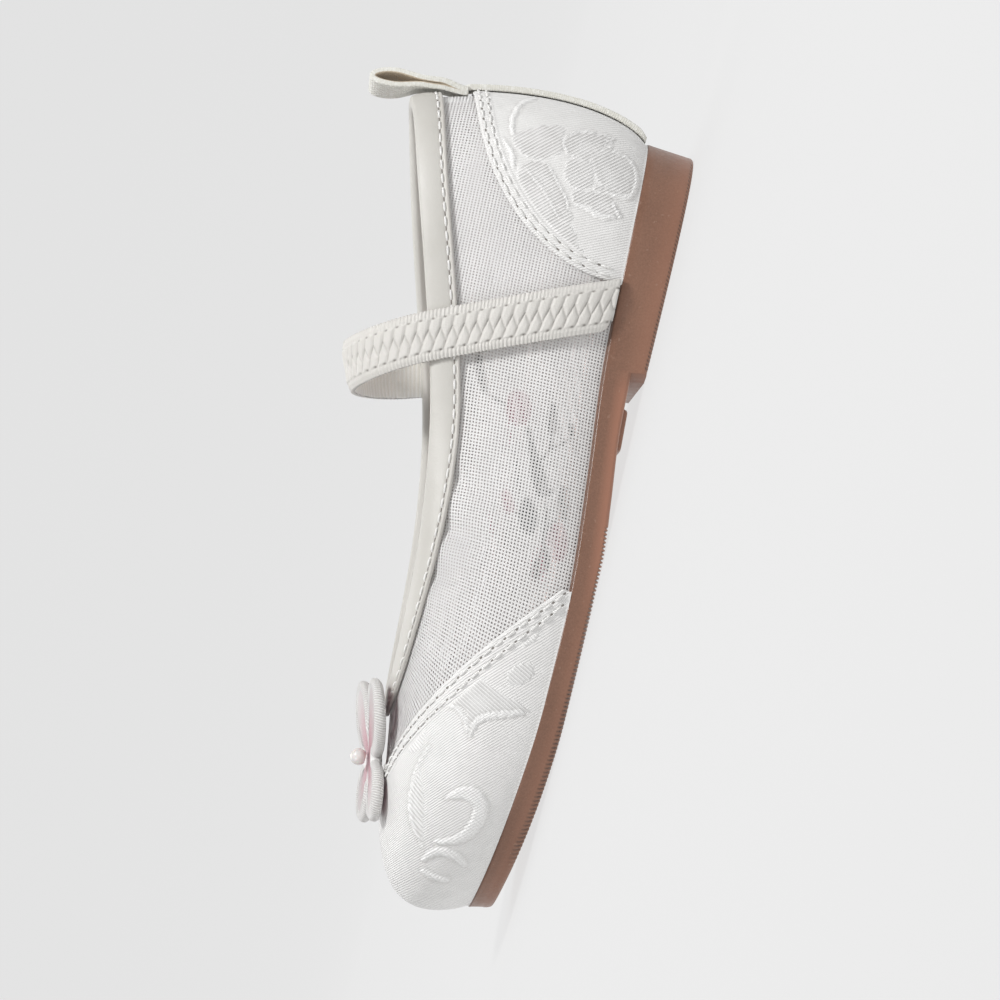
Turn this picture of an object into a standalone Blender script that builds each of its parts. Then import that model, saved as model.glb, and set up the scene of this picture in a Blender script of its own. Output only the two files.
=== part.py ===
"""Child's mesh mary jane shoe for the left foot.

A gum rubber outsole carries an insole and one hollow mesh upper. A jacquard toe cap and
heel counter, a bound collar, a back tape with a pull loop, an elastic strap and a
butterfly with a pearl are fitted over the upper, each worked out from the upper's own wall.
+X points to the toe, +Y to the outer side of the foot and +Z up.
"""

import math

import bmesh
import bpy
import numpy as np
from mathutils import Vector

# Sizes are in millimetres, and MM turns them into metres when a mesh is made
MM = 0.001

# Sole
SOLE_RIM = 1.2
SOLE_TOP = ((-8.0, 11.4), (0.0, 11.1), (26.0, 10.6), (53.0, 9.6), (80.0, 7.2), (105.0, 5.5),
            (130.0, 5.4), (152.0, 6.6), (176.0, 9.3), (184.0, 10.6))
SHANK_HEIGHT = ((53.0, 3.35), (68.0, 2.75), (84.0, 1.15), (98.0, 0.0), (134.0, 0.0),
                (148.0, 0.55), (162.0, 1.9), (176.0, 4.0))
HEEL_BLOCK_FRONT = 53.5
HEEL_STEP_SLANT = 0.5
EDGE_ROUND_HEEL = 0.9
EDGE_ROUND_TOE = 2.2
EDGE_ROUND_FROM = 100.0
EDGE_INSET = 1.1
WALL_TAPER = 0.7
TOP_BEVEL = 0.45
SOLE_STATIONS = 46

# Shank pad under the waist
PAD_START = 61.0
PAD_LENGTH = 10.0
PAD_WIDTH = 30.0
PAD_MIDDLE_Y = 1.0
PAD_PROUD = 1.4
PAD_ROOT = 1.0

# Upper
WALL = 1.2
GAP = 0.35
# One row for each section of the wall, from the heel round the outer side to the toe and back
WALL_COLUMNS = ("foot_x", "foot_y", "low_out", "low_up", "high_out", "high_drop", "top_x", "top_y", "top_h")
WALL_TABLE = (
    (1.2, 0.0, 7.7, 9.0, 7.5, 19.0, 3.0, 0.0, 53.0),
    (6.5, 14.3, 6.0, 10.0, 7.0, 19.0, 6.8, 9.6, 51.8),
    (24.0, 22.8, 3.6, 12.0, 5.2, 18.0, 23.0, 17.0, 47.3),
    (62.0, 24.4, 3.4, 12.0, 3.0, 13.0, 61.0, 20.0, 37.2),
    (106.0, 32.0, 3.6, 12.0, 11.0, 6.5, 103.0, 19.5, 33.0),
    (145.0, 29.3, 5.6, 16.0, 18.0, 5.2, 126.5, 12.5, 32.0),
    (166.5, 16.2, 9.6, 20.0, 24.0, 5.6, 132.0, 5.6, 31.8),
    (174.8, -2.0, 12.2, 21.0, 26.0, 6.0, 133.0, -0.6, 31.7),
    (169.0, -17.6, 9.8, 20.0, 24.0, 5.6, 132.0, -6.8, 31.8),
    (150.0, -28.0, 5.8, 16.5, 18.0, 5.2, 127.0, -13.0, 32.0),
    (118.0, -32.0, 3.6, 12.5, 11.0, 6.5, 107.0, -19.5, 32.8),
    (70.0, -22.6, 3.2, 12.0, 3.2, 13.0, 66.0, -19.5, 36.2),
    (24.0, -22.2, 3.6, 12.0, 5.2, 18.0, 23.0, -17.0, 47.3),
    (6.5, -14.0, 6.0, 10.0, 7.0, 19.0, 6.8, -9.6, 51.8),
)
UPPER_AROUND = 72
UPPER_SHARES = (0.0, 0.07, 0.15, 0.24, 0.33, 0.42, 0.52, 0.64, 0.76, 0.88, 1.0)
BASE_SHARE = 0.10

# Insole
INSOLE_THICK = 2.0
INSOLE_CLEAR = 0.5
INSOLE_STATIONS = 30

# Overlays on the upper
OVERLAY_THICK = 0.7
OVERLAY_ROWS = 11
END_COLUMNS = 7
END_SHARE = 0.05
CAP_SIDE_X = 105.5
CAP_CENTRE_SHARE = 0.68
CAP_POWER = 3.0
COUNTER_SIDE_X = 36.0
COUNTER_BACK_SHARE = 0.755
COUNTER_POWER = 3.1
COUNTER_ROOT = 0.5

# Collar binding
BINDING_THICK = 0.7
BINDING_OUTSIDE = 6.2
BINDING_INSIDE = 5.0

# Back tape and pull loop
TAPE_WIDTH = 6.0
TAPE_THICK = 1.4
TAPE_TOP_SHARE = 0.765
TAPE_ROWS = 9
LOOP_WIDTH = 7.0
LOOP_TIP_H = 64.0
LOOP_LEAN = math.radians(13.0)
LOOP_TAPE = 1.5
LOOP_FOOT = 1.45
LOOP_FOOT_PRESSED = 1.05
LOOP_TUCK = 1.45
LOOP_TUCK_TO = 0.3
LOOP_GAP = 1.9
LOOP_OPENS_AT = 0.46
LOOP_ROUND_FROM = 0.78
LOOP_GAP_SKEW = 1.5
LOOP_STEPS = 18

# Strap
STRAP_WIDTH = 11.0
STRAP_THICK = 1.3
STRAP_LEAN = math.radians(23.0)
STRAP_FOOT_X = 40.5
STRAP_FOOT_SHIFT = 3.5
STRAP_APEX_H = 53.5
STRAP_LIFT = 1.5
STRAP_RUN_STEPS = 11
STRAP_ARCH_STEPS = 9
STRAP_ACROSS = 4
STRAP_LEAVES_AT = 0.985
STRAP_WAY = np.array([math.sin(STRAP_LEAN), math.cos(STRAP_LEAN)])
STRAP_ACROSS_WAY = np.array([math.cos(STRAP_LEAN), -math.sin(STRAP_LEAN)])
SEARCH_STEPS = 12
TRIAL_STEPS = 80
ARCH_START_PULL = 9.0
ARCH_TOP_PULL = 13.0

# Butterfly and pearl
FLY_CENTRE_X = 149.5
FLY_REAR_REACH = 21.0
FLY_FRONT_REACH = 17.2
FLY_LOBE_ANGLE_REAR = math.radians(43.0)
FLY_LOBE_ANGLE_FRONT = math.radians(47.0)
FLY_WAIST = 6.5
FLY_LOBE_SPREAD = math.radians(46.0)
FLY_THICK = 2.6
FLY_RIM_ROUND = 0.5
FLY_DIHEDRAL = math.radians(1.0)
FLY_ROLL = math.radians(5.5)
FLY_BEND = math.radians(3.5)
FLY_PITCH = math.radians(12.5)
FLY_AROUND = 44
FLY_INNER_RING = 0.45
FLY_SEAT_FROM = 0.3
FLY_SEAT_SPAN = 0.16
PEARL_RADIUS = 1.9
PEARL_FLAT = 1.1
PEARL_RINGS = 8
PEARL_AROUND = 14

# Linear RGBA, roughness
MATERIALS = {
    "gum_rubber": ((0.25, 0.127, 0.085, 1.0), 0.5),
    "white_mesh": ((0.80, 0.79, 0.77, 1.0), 0.75),
    "white_jacquard": ((0.84, 0.83, 0.81, 1.0), 0.55),
    "white_binding": ((0.76, 0.75, 0.69, 1.0), 0.5),
    "white_elastic": ((0.77, 0.76, 0.71, 1.0), 0.8),
    "cream_tape": ((0.70, 0.68, 0.59, 1.0), 0.7),
    "pink_thread": ((0.77, 0.46, 0.51, 1.0), 0.6),
    "pearl_white": ((0.80, 0.76, 0.70, 1.0), 0.2),
    "insole_cloth": ((0.74, 0.66, 0.62, 1.0), 0.85),
}


def smooth_step(value):
    """Ease from 0 to 1 as value goes from 0 to 1."""
    part = np.clip(value, 0.0, 1.0)
    return part * part * (3.0 - 2.0 * part)


def spline_slopes(knots, heights):
    """Slopes of a smooth curve through a short table, with free ends."""
    steps = np.diff(knots)
    rises = np.diff(heights) / steps
    slopes = np.empty(len(knots))
    slopes[0] = rises[0]
    slopes[-1] = rises[-1]
    slopes[1:-1] = (rises[:-1] * steps[1:] + rises[1:] * steps[:-1]) / (steps[1:] + steps[:-1])
    slopes[1:-1][rises[:-1] * rises[1:] <= 0.0] = 0.0
    return slopes


def table_curve(table, x):
    """Height at x on the smooth curve through a table of (x, height) rows."""
    knots = np.array([row[0] for row in table])
    heights = np.array([row[1] for row in table])
    slopes = spline_slopes(knots, heights)
    x = np.clip(np.asarray(x, dtype=float), knots[0], knots[-1])
    index = np.clip(np.searchsorted(knots, x, side="right") - 1, 0, len(knots) - 2)
    step = knots[index + 1] - knots[index]
    u = (x - knots[index]) / step
    h00 = (1.0 + 2.0 * u) * (1.0 - u) ** 2
    h10 = u * (1.0 - u) ** 2
    h01 = u * u * (3.0 - 2.0 * u)
    h11 = u * u * (u - 1.0)
    return (h00 * heights[index] + h10 * step * slopes[index]
            + h01 * heights[index + 1] + h11 * step * slopes[index + 1])


def sole_top(x):
    """Height of the sole's upper face above the floor."""
    return table_curve(SOLE_TOP, x)


class RingSpline:
    """Smooth closed curve through the rows of a table, by distance round the foot outline."""

    def __init__(self, rows):
        values = np.array(rows, dtype=float)
        closed = np.vstack([values, values[:1]])
        legs = np.hypot(np.diff(closed[:, 0]), np.diff(closed[:, 1]))
        self.knots = np.concatenate([[0.0], np.cumsum(legs)]) / legs.sum()
        self.values = closed
        self.slopes = self.solve_slopes(np.diff(self.knots), closed)

    @staticmethod
    def solve_slopes(steps, closed):
        count = len(steps)
        matrix = np.zeros((count, count))
        right = np.zeros((count, closed.shape[1]))
        for row in range(count):
            before = steps[row - 1]
            after = steps[row]
            matrix[row, row - 1] += after
            matrix[row, row] += 2.0 * (before + after)
            matrix[row, (row + 1) % count] += before
            rise_before = (closed[row] - closed[row - 1 if row else count - 1]) / before
            rise_after = (closed[row + 1] - closed[row]) / after
            right[row] = 3.0 * (after * rise_before + before * rise_after)
        slopes = np.linalg.solve(matrix, right)
        return np.vstack([slopes, slopes[:1]])

    def at(self, phi):
        phi = np.mod(phi, 1.0)
        index = np.clip(np.searchsorted(self.knots, phi, side="right") - 1, 0, len(self.knots) - 2)
        step = (self.knots[index + 1] - self.knots[index])[:, None]
        u = (phi - self.knots[index])[:, None] / step
        h00 = (1.0 + 2.0 * u) * (1.0 - u) ** 2
        h10 = u * (1.0 - u) ** 2
        h01 = u * u * (3.0 - 2.0 * u)
        h11 = u * u * (u - 1.0)
        return (h00 * self.values[index] + h10 * step * self.slopes[index]
                + h01 * self.values[index + 1] + h11 * step * self.slopes[index + 1])


RING = RingSpline(WALL_TABLE)
COLUMN = {name: number for number, name in enumerate(WALL_COLUMNS)}
TIP_PHI = float(RING.knots[int(np.argmax([row[0] for row in WALL_TABLE]))])
SECTION_STEPS = 40
DIFFERENCE = 1e-3


def plan_normal(phi):
    """Outward direction of the foot outline in plan."""
    ahead = RING.at(phi + DIFFERENCE)
    behind = RING.at(phi - DIFFERENCE)
    along = ahead[:, :2] - behind[:, :2]
    along = along / np.linalg.norm(along, axis=1)[:, None]
    return np.stack([-along[:, 1], along[:, 0]], axis=1)


def section_controls(phi):
    """Four control points of the wall's section at each place round the outline."""
    row = RING.at(phi)
    out = plan_normal(phi)
    foot = np.stack([row[:, COLUMN["foot_x"]], row[:, COLUMN["foot_y"]], np.zeros(len(phi))], axis=1)
    top = np.stack([row[:, COLUMN["top_x"]], row[:, COLUMN["top_y"]], row[:, COLUMN["top_h"]]], axis=1)
    low = foot.copy()
    low[:, :2] += out * row[:, COLUMN["low_out"], None]
    low[:, 2] += row[:, COLUMN["low_up"]]
    high = top.copy()
    high[:, :2] += out * row[:, COLUMN["high_out"], None]
    high[:, 2] -= row[:, COLUMN["high_drop"]]
    return np.stack([foot, low, high, top], axis=1)


def bezier(controls, t):
    t = t[..., None]
    return ((1 - t) ** 3 * controls[:, 0] + 3 * (1 - t) ** 2 * t * controls[:, 1]
            + 3 * (1 - t) * t * t * controls[:, 2] + t ** 3 * controls[:, 3])


def section_lengths(controls):
    """Running length along each section, at even steps of its own parameter."""
    steps = np.linspace(0.0, 1.0, SECTION_STEPS + 1)
    points = np.stack([bezier(controls, np.full(len(controls), t)) for t in steps], axis=1)
    legs = np.linalg.norm(np.diff(points, axis=1), axis=2)
    return np.concatenate([np.zeros((len(controls), 1)), np.cumsum(legs, axis=1)], axis=1)


def wall_length(phi):
    """Length of the wall from the feather line to the topline."""
    return section_lengths(section_controls(phi))[:, -1]


def wall_surface(phi, share):
    """Points on the outside of the upper, share 0 at the feather line and 1 at the topline."""
    controls = section_controls(phi)
    running = section_lengths(controls)
    goal = np.clip(share, 0.0, 1.0) * running[:, -1]
    index = np.clip((running <= goal[:, None]).sum(axis=1) - 1, 0, SECTION_STEPS - 1)
    rows = np.arange(len(phi))
    low = running[rows, index]
    high = running[rows, index + 1]
    t = (index + (goal - low) / (high - low)) / SECTION_STEPS
    points = bezier(controls, t)
    points[:, 2] += sole_top(points[:, 0]) + GAP
    return points


def wall_frame(phi, share):
    """Outward normal and upward direction of the wall, the normal level at its foot."""
    above = wall_surface(phi, np.minimum(share + DIFFERENCE, 1.0))
    below = wall_surface(phi, np.maximum(share - DIFFERENCE, 0.0))
    up = above - below
    round_about = wall_surface(phi + DIFFERENCE, share) - wall_surface(phi - DIFFERENCE, share)
    normal = np.cross(up, round_about)
    normal /= np.linalg.norm(normal, axis=1)[:, None]
    normal[:, 2] *= smooth_step(share / BASE_SHARE)
    normal /= np.linalg.norm(normal, axis=1)[:, None]
    up /= np.linalg.norm(up, axis=1)[:, None]
    return normal, up


def wall(phi, share, lift=0.0):
    """Points that stand off the wall by lift, which is negative inside the shoe."""
    phi, share, lift = np.broadcast_arrays(np.asarray(phi, float), np.asarray(share, float), lift)
    shape = phi.shape
    phi = phi.ravel()
    share = share.ravel()
    normal, _ = wall_frame(phi, share)
    points = wall_surface(phi, share) + normal * lift.ravel()[:, None]
    return points.reshape(shape + (3,))


def collar(phi, drop, lift):
    """Points at a drop below the topline along the wall, or above it where drop is negative."""
    share = 1.0 - max(drop, 0.0) / wall_length(phi)
    normal, up = wall_frame(phi, share)
    return wall_surface(phi, share) + normal * lift + up * max(-drop, 0.0)


def phi_at(x, side, samples=400):
    """Place round the outline where the foot line passes x, on the outer (1) or inner (-1) side."""
    span = np.linspace(0.0 if side > 0 else 1.0, TIP_PHI, samples)
    return np.interp(x, RING.at(span)[:, 0], span)


# Meshes

def make_material(name):
    colour, roughness = MATERIALS[name]
    material = bpy.data.materials.new(name)
    material.use_nodes = True
    shader = material.node_tree.nodes["Principled BSDF"]
    shader.inputs["Base Color"].default_value = colour
    shader.inputs["Roughness"].default_value = roughness
    shader.inputs["Metallic"].default_value = 0.0
    material.diffuse_color = colour
    return material


def add_object(name, points, faces, material, parent):
    """One closed object from points in millimetres."""
    mesh = bpy.data.meshes.new(name)
    mesh.from_pydata([tuple(point * MM) for point in np.asarray(points)], [], faces)
    tidy = bmesh.new()
    tidy.from_mesh(mesh)
    bmesh.ops.remove_doubles(tidy, verts=tidy.verts, dist=1e-6)
    bmesh.ops.recalc_face_normals(tidy, faces=tidy.faces)
    tidy.to_mesh(mesh)
    tidy.free()
    mesh.shade_smooth()
    mesh.set_sharp_from_angle(angle=math.radians(40.0))
    if material:
        mesh.materials.append(material)
    made = bpy.data.objects.new(name, mesh)
    bpy.context.scene.collection.objects.link(made)
    made.parent = parent
    return made


def combine(body, guide, operation):
    """Join a hidden guide to a body, or cut the body with it."""
    guide.hide_render = True
    guide.display_type = "WIRE"
    change = body.modifiers.new(guide.name, "BOOLEAN")
    change.operation = operation
    change.solver = "EXACT"
    change.object = guide


def grid_faces(rows, columns, start, ring):
    """Quads of a grid of points, closed round its columns if ring is set."""
    faces = []
    for row in range(rows - 1):
        for column in range(columns if ring else columns - 1):
            after = (column + 1) % columns
            faces.append((start + row * columns + column, start + (row + 1) * columns + column,
                          start + (row + 1) * columns + after, start + row * columns + after))
    return faces


def shell(outer, inner, ring):
    """Closed wall between two grids of points of the same size."""
    rows, columns = outer.shape[:2]
    count = rows * columns
    faces = grid_faces(rows, columns, 0, ring)
    faces += [face[::-1] for face in grid_faces(rows, columns, count, ring)]
    border = []
    for column in range(columns if ring else columns - 1):
        after = (column + 1) % columns
        border.append((column, after))
        border.append(((rows - 1) * columns + column, (rows - 1) * columns + after))
    if not ring:
        for row in range(rows - 1):
            border.append((row * columns, (row + 1) * columns))
            border.append((row * columns + columns - 1, (row + 1) * columns + columns - 1))
    faces += [(a, b, b + count, a + count) for a, b in border]
    points = np.concatenate([outer.reshape(-1, 3), inner.reshape(-1, 3)])
    return points, faces


def tube_ring(sections):
    """Closed ring swept by a closed section: an array of (places, section points, 3)."""
    places, corners = sections.shape[:2]
    faces = []
    for place in range(places):
        after = (place + 1) % places
        for corner in range(corners):
            beside = (corner + 1) % corners
            faces.append((place * corners + corner, after * corners + corner,
                          after * corners + beside, place * corners + beside))
    return sections.reshape(-1, 3), faces


# Sole

def outline_halves(rim, samples=300):
    """Outer and inner halves of the foot outline moved out by rim, from heel to toe."""
    halves = []
    for start in (0.0, 1.0):
        phi = np.linspace(start, TIP_PHI, samples)
        halves.append(RING.at(phi)[:, :2] + plan_normal(phi) * rim)
    return halves


def outline_at(rim, stations):
    """Outer and inner outline points at shares 0 to 1 of the outline's length along X."""
    result = []
    for half in outline_halves(rim):
        start, end = half[0, 0], half[-1, 0]
        x = start + stations * (end - start)
        result.append(np.stack([x, np.interp(x, half[:, 0], half[:, 1])], axis=1))
    return result


def stack_between_outlines(levels):
    """Closed body between a heel pole and a toe pole from levels of (outer, inner) points."""
    count = len(levels[0][0])
    points = []
    rings = []
    for outer, inner in levels:
        ring = list(range(len(points), len(points) + 2 * count - 2))
        points.extend(outer)
        points.extend(inner[1:-1][::-1])
        rings.append(ring)
    size = 2 * count - 2
    faces = []
    for upper_ring, lower_ring in zip(rings[:-1], rings[1:]):
        for place in range(size):
            after = (place + 1) % size
            faces.append((upper_ring[place], upper_ring[after], lower_ring[after], lower_ring[place]))
    for ring in (rings[0], rings[-1]):
        outer_side = ring[:count]
        inner_side = [ring[0]] + ring[:count - 1:-1] + [ring[count - 1]]
        for place in range(count - 1):
            corners = (outer_side[place], outer_side[place + 1], inner_side[place + 1], inner_side[place])
            faces.append(tuple(dict.fromkeys(corners)))
    return np.array(points), faces


def sole_stations():
    """Shares along the sole, close together at the round ends and on both sides of the heel step."""
    turn = np.linspace(0.0, math.pi, SOLE_STATIONS)
    even = 0.5 * (1.0 - np.cos(turn))
    first, last = outline_halves(SOLE_RIM)[0][[0, -1], 0]
    step = (HEEL_BLOCK_FRONT - first) / (last - first)
    slant = HEEL_STEP_SLANT / (last - first)
    apart = even[np.abs(even - step) > 2.0 * slant]
    return np.sort(np.concatenate([apart, [step, step + slant]]))


def sole_bottom(x, on_block):
    """Height of the sole's under face: the floor under the heel block, the shank curve ahead of it."""
    return np.where(on_block, 0.0, table_curve(SHANK_HEIGHT, x))


def with_height(plan, z):
    return np.column_stack([plan, z])


def make_outsole(parent):
    stations = sole_stations()
    first, last = outline_halves(SOLE_RIM)[0][[0, -1], 0]
    nominal = first + stations * (last - first)
    on_block = nominal <= HEEL_BLOCK_FRONT + 1e-6
    edge = EDGE_ROUND_HEEL + (EDGE_ROUND_TOE - EDGE_ROUND_HEEL) * smooth_step(
        (nominal - EDGE_ROUND_FROM) / (last - EDGE_ROUND_FROM))
    top = sole_top(nominal)
    bottom = sole_bottom(nominal, on_block)
    rows = (
        (TOP_BEVEL, top),
        (0.0, top - TOP_BEVEL),
        (0.5 * WALL_TAPER, 0.5 * (top + bottom + edge)),
        (WALL_TAPER, bottom + edge),
        (WALL_TAPER + 0.3 * EDGE_INSET, bottom + 0.3 * edge),
        (WALL_TAPER + EDGE_INSET, bottom),
    )
    levels = []
    for inset, height in rows:
        outer, inner = outline_at(SOLE_RIM - inset, stations)
        levels.append((with_height(outer, height), with_height(inner, height)))
    points, faces = stack_between_outlines(levels)
    sole = add_object("outsole", points, faces, make_material("gum_rubber"), parent)
    add_shank_pad(sole, parent)
    return sole


def add_shank_pad(sole, parent):
    """Join a low pad to the shank, set in from the sole's edges."""
    length_half = 0.5 * PAD_LENGTH
    width_half = 0.5 * PAD_WIDTH
    corners = []
    for side_x in (-length_half, length_half):
        for side_y in (-width_half, width_half):
            x = PAD_START + length_half + side_x
            shank = float(table_curve(SHANK_HEIGHT, x))
            corners.append((x, PAD_MIDDLE_Y + side_y, shank - PAD_PROUD))
            corners.append((x, PAD_MIDDLE_Y + side_y, shank + PAD_ROOT))
    faces = [(0, 1, 3, 2), (4, 6, 7, 5), (0, 4, 5, 1), (2, 3, 7, 6), (0, 2, 6, 4), (1, 5, 7, 3)]
    pad = add_object("shank_pad_guide", np.array(corners), faces, None, parent)
    combine(sole, pad, "UNION")


def make_insole(parent):
    stations = 0.5 * (1.0 - np.cos(np.linspace(0.0, math.pi, INSOLE_STATIONS)))
    outer, inner = outline_at(-WALL - INSOLE_CLEAR, stations)
    levels = []
    for raise_by in (GAP + INSOLE_THICK, GAP):
        levels.append(tuple(with_height(side, sole_top(side[:, 0]) + raise_by) for side in (outer, inner)))
    points, faces = stack_between_outlines(levels)
    return add_object("insole", points, faces, make_material("insole_cloth"), parent)


# Upper and its overlays

def ring_places():
    return np.arange(UPPER_AROUND) / UPPER_AROUND


def make_upper(parent):
    share, phi = np.meshgrid(np.array(UPPER_SHARES), ring_places(), indexing="ij")
    points, faces = shell(wall(phi, share), wall(phi, share, -WALL), True)
    return add_object("upper", points, faces, make_material("white_mesh"), parent)


def overlay_places(start, end):
    """Places round the outline from start to end, on the upper's own facets between them."""
    wide = np.arange(-UPPER_AROUND, 2 * UPPER_AROUND) / UPPER_AROUND
    margin = 0.3 / UPPER_AROUND
    inside = wide[(wide > start + margin) & (wide < end - margin)]
    head = np.linspace(start, inside[1], END_COLUMNS)[:-1]
    tail = np.linspace(inside[-2], end, END_COLUMNS)[1:]
    return np.concatenate([head, inside[1:-1], tail])


def make_overlay(name, start, middle, end, edge, parent):
    """Skin over the upper from its foot to an edge, which is a function of -1 to 1 across it."""
    phi = overlay_places(start, end)
    across = np.where(phi < middle, (phi - middle) / (middle - start), (phi - middle) / (end - middle))
    top = edge(across)
    rows = np.linspace(0.0, 1.0, OVERLAY_ROWS)
    share = rows[:, None] * top[None, :]
    phi = np.broadcast_to(phi, share.shape)
    points, faces = shell(wall(phi, share, GAP + OVERLAY_THICK), wall(phi, share, GAP), False)
    return add_object(name, points, faces, make_material("white_jacquard"), parent)


def cap_edge(across):
    return END_SHARE + (CAP_CENTRE_SHARE - END_SHARE) * (1.0 - np.abs(across) ** CAP_POWER)


def counter_edge(across):
    arch = (1.0 - np.abs(across) ** COUNTER_POWER) ** COUNTER_ROOT
    return END_SHARE + (COUNTER_BACK_SHARE - END_SHARE) * arch


def make_toe_cap(parent):
    return make_overlay("toe_cap", phi_at(CAP_SIDE_X, 1), TIP_PHI, phi_at(CAP_SIDE_X, -1), cap_edge, parent)


def make_heel_counter(parent):
    return make_overlay("heel_counter", phi_at(COUNTER_SIDE_X, -1) - 1.0, 0.0, phi_at(COUNTER_SIDE_X, 1),
                        counter_edge, parent)


def make_binding(parent):
    skin = GAP + BINDING_THICK
    inside = -WALL - GAP
    section = (
        (BINDING_OUTSIDE, skin),
        (0.5 * BINDING_OUTSIDE, skin),
        (0.0, skin),
        (-skin, 0.1),
        (-skin, -WALL - 0.1),
        (0.0, inside - BINDING_THICK),
        (BINDING_INSIDE, inside - BINDING_THICK),
        (BINDING_INSIDE, inside),
        (-GAP, inside),
        (-GAP, GAP),
        (0.5 * BINDING_OUTSIDE, GAP),
        (BINDING_OUTSIDE, GAP),
    )
    phi = ring_places()
    corners = [collar(phi, drop, lift) for drop, lift in section]
    points, faces = tube_ring(np.stack(corners, axis=1))
    return add_object("collar_binding", points, faces, make_material("white_binding"), parent)


def make_back_tape(parent):
    """Tape over the back seam, lying on the counter."""
    under = 2.0 * GAP + OVERLAY_THICK
    reach = 0.5 * TAPE_WIDTH / perimeter()
    rows = np.linspace(0.0, TAPE_TOP_SHARE, TAPE_ROWS)
    share, phi = np.meshgrid(rows, np.array([-reach, 0.0, reach]), indexing="ij")
    points, faces = shell(wall(phi, share, under + TAPE_THICK), wall(phi, share, under), False)
    return add_object("back_seam_tape", points, faces, make_material("cream_tape"), parent)


def perimeter():
    ring = RING.at(np.linspace(0.0, 1.0, 400))[:, :2]
    return float(np.linalg.norm(np.diff(ring, axis=0), axis=1).sum())


def prism(profile, half_width):
    """Closed body of an outline in the XZ plane, given a width across the shoe."""
    count = len(profile)
    points = [(x, -half_width, z) for x, z in profile] + [(x, half_width, z) for x, z in profile]
    faces = [tuple(range(count)), tuple(range(2 * count - 1, count - 1, -1))]
    faces += [(i, (i + 1) % count, (i + 1) % count + count, i + count) for i in range(count)]
    return np.array(points), faces


def loop_outline(half_widths, along, length, base):
    """Outline of the loop about its leaning axis, whose foot is tucked in against the wall."""
    axis = np.array([math.sin(LOOP_LEAN), math.cos(LOOP_LEAN)])
    across = np.array([math.cos(LOOP_LEAN), -math.sin(LOOP_LEAN)])
    tuck = LOOP_TUCK * (1.0 - smooth_step(along / LOOP_TUCK_TO))
    middle = base + axis * (along * length)[:, None] + across * tuck[:, None]
    front = middle + across * half_widths[:, None]
    back = middle - across * half_widths[:, None]
    return np.vstack([front, back[::-1]])


def make_pull_loop(parent):
    """Tape folded into a slim teardrop above the collar, its two legs pressed together on the mesh."""
    behind = 2.0 * GAP + BINDING_THICK + LOOP_FOOT
    foot = wall(np.zeros(1), np.array([TAPE_TOP_SHARE]), behind)[0]
    base = np.array([foot[0], foot[2] + GAP])
    length = (LOOP_TIP_H + float(sole_top(0.0)) - base[1]) / math.cos(LOOP_LEAN)
    along = np.linspace(0.0, 1.0, LOOP_STEPS)
    past_round = np.clip((along - LOOP_ROUND_FROM) / (1.0 - LOOP_ROUND_FROM), 0.0, 1.0)
    swell = smooth_step((along - LOOP_OPENS_AT) / (LOOP_ROUND_FROM - LOOP_OPENS_AT))
    legs = LOOP_FOOT_PRESSED + (LOOP_FOOT - LOOP_FOOT_PRESSED) * smooth_step(along / LOOP_TUCK_TO)
    outer_half = (legs + 0.5 * LOOP_GAP * swell) * np.sqrt(1.0 - past_round ** 2)
    points, faces = prism(loop_outline(outer_half, along, length, base), 0.5 * LOOP_WIDTH)
    loop = add_object("pull_loop", points, faces, make_material("cream_tape"), parent)
    gap_half = 0.5 * LOOP_GAP * np.sin(math.pi * along ** LOOP_GAP_SKEW)
    gap_along = LOOP_OPENS_AT + (1.0 - LOOP_TAPE / length - LOOP_OPENS_AT) * along
    gap_outline = loop_outline(gap_half, gap_along, length, base)
    points, faces = prism(gap_outline, LOOP_WIDTH)
    hole = add_object("loop_gap_guide", points, faces, None, parent)
    combine(loop, hole, "DIFFERENCE")
    return loop


# Strap

def side_of_wall(x, z, side):
    """Places and shares on the wall that have these x and z, on the outer (1) or inner (-1) side."""
    phi = phi_at(x, side)
    share = np.full_like(phi, 0.5)
    for _ in range(SEARCH_STEPS):
        here = wall_surface(phi, share)
        by_phi = (wall_surface(phi + DIFFERENCE, share) - here) / DIFFERENCE
        by_share = (wall_surface(phi, share - DIFFERENCE) - here) / -DIFFERENCE
        miss_x = x - here[:, 0]
        miss_z = z - here[:, 2]
        area = by_phi[:, 0] * by_share[:, 2] - by_phi[:, 2] * by_share[:, 0]
        phi = phi + np.clip((miss_x * by_share[:, 2] - miss_z * by_share[:, 0]) / area, -0.03, 0.03)
        share = share + np.clip((miss_z * by_phi[:, 0] - miss_x * by_phi[:, 2]) / area, -0.2, 0.2)
        share = np.clip(share, 2.0 * DIFFERENCE, 1.0)
    return phi, share


def strap_run(side, offset):
    """One side of the strap at an offset across it, from the sole up to the topline."""
    foot_x = STRAP_FOOT_X + (0.0 if side > 0 else STRAP_FOOT_SHIFT)
    foot = np.array([foot_x, float(sole_top(foot_x))]) + STRAP_ACROSS_WAY * offset
    start = (float(sole_top(foot[0])) + 2.0 * GAP - foot[1]) / STRAP_WAY[1]
    trial = np.linspace(start, STRAP_APEX_H, TRIAL_STEPS)
    _, share = side_of_wall(foot[0] + STRAP_WAY[0] * trial, foot[1] + STRAP_WAY[1] * trial, side)
    top = trial[np.argmax(share > STRAP_LEAVES_AT)]
    distance = np.linspace(start, top, STRAP_RUN_STEPS)
    x = foot[0] + STRAP_WAY[0] * distance
    z = foot[1] + STRAP_WAY[1] * distance
    phi, share = side_of_wall(x, z, side)
    normal, _ = wall_frame(phi, share)
    y = wall_surface(phi, share)[:, 1] + STRAP_LIFT / normal[:, 1]
    return np.column_stack([x, y, z])


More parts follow.
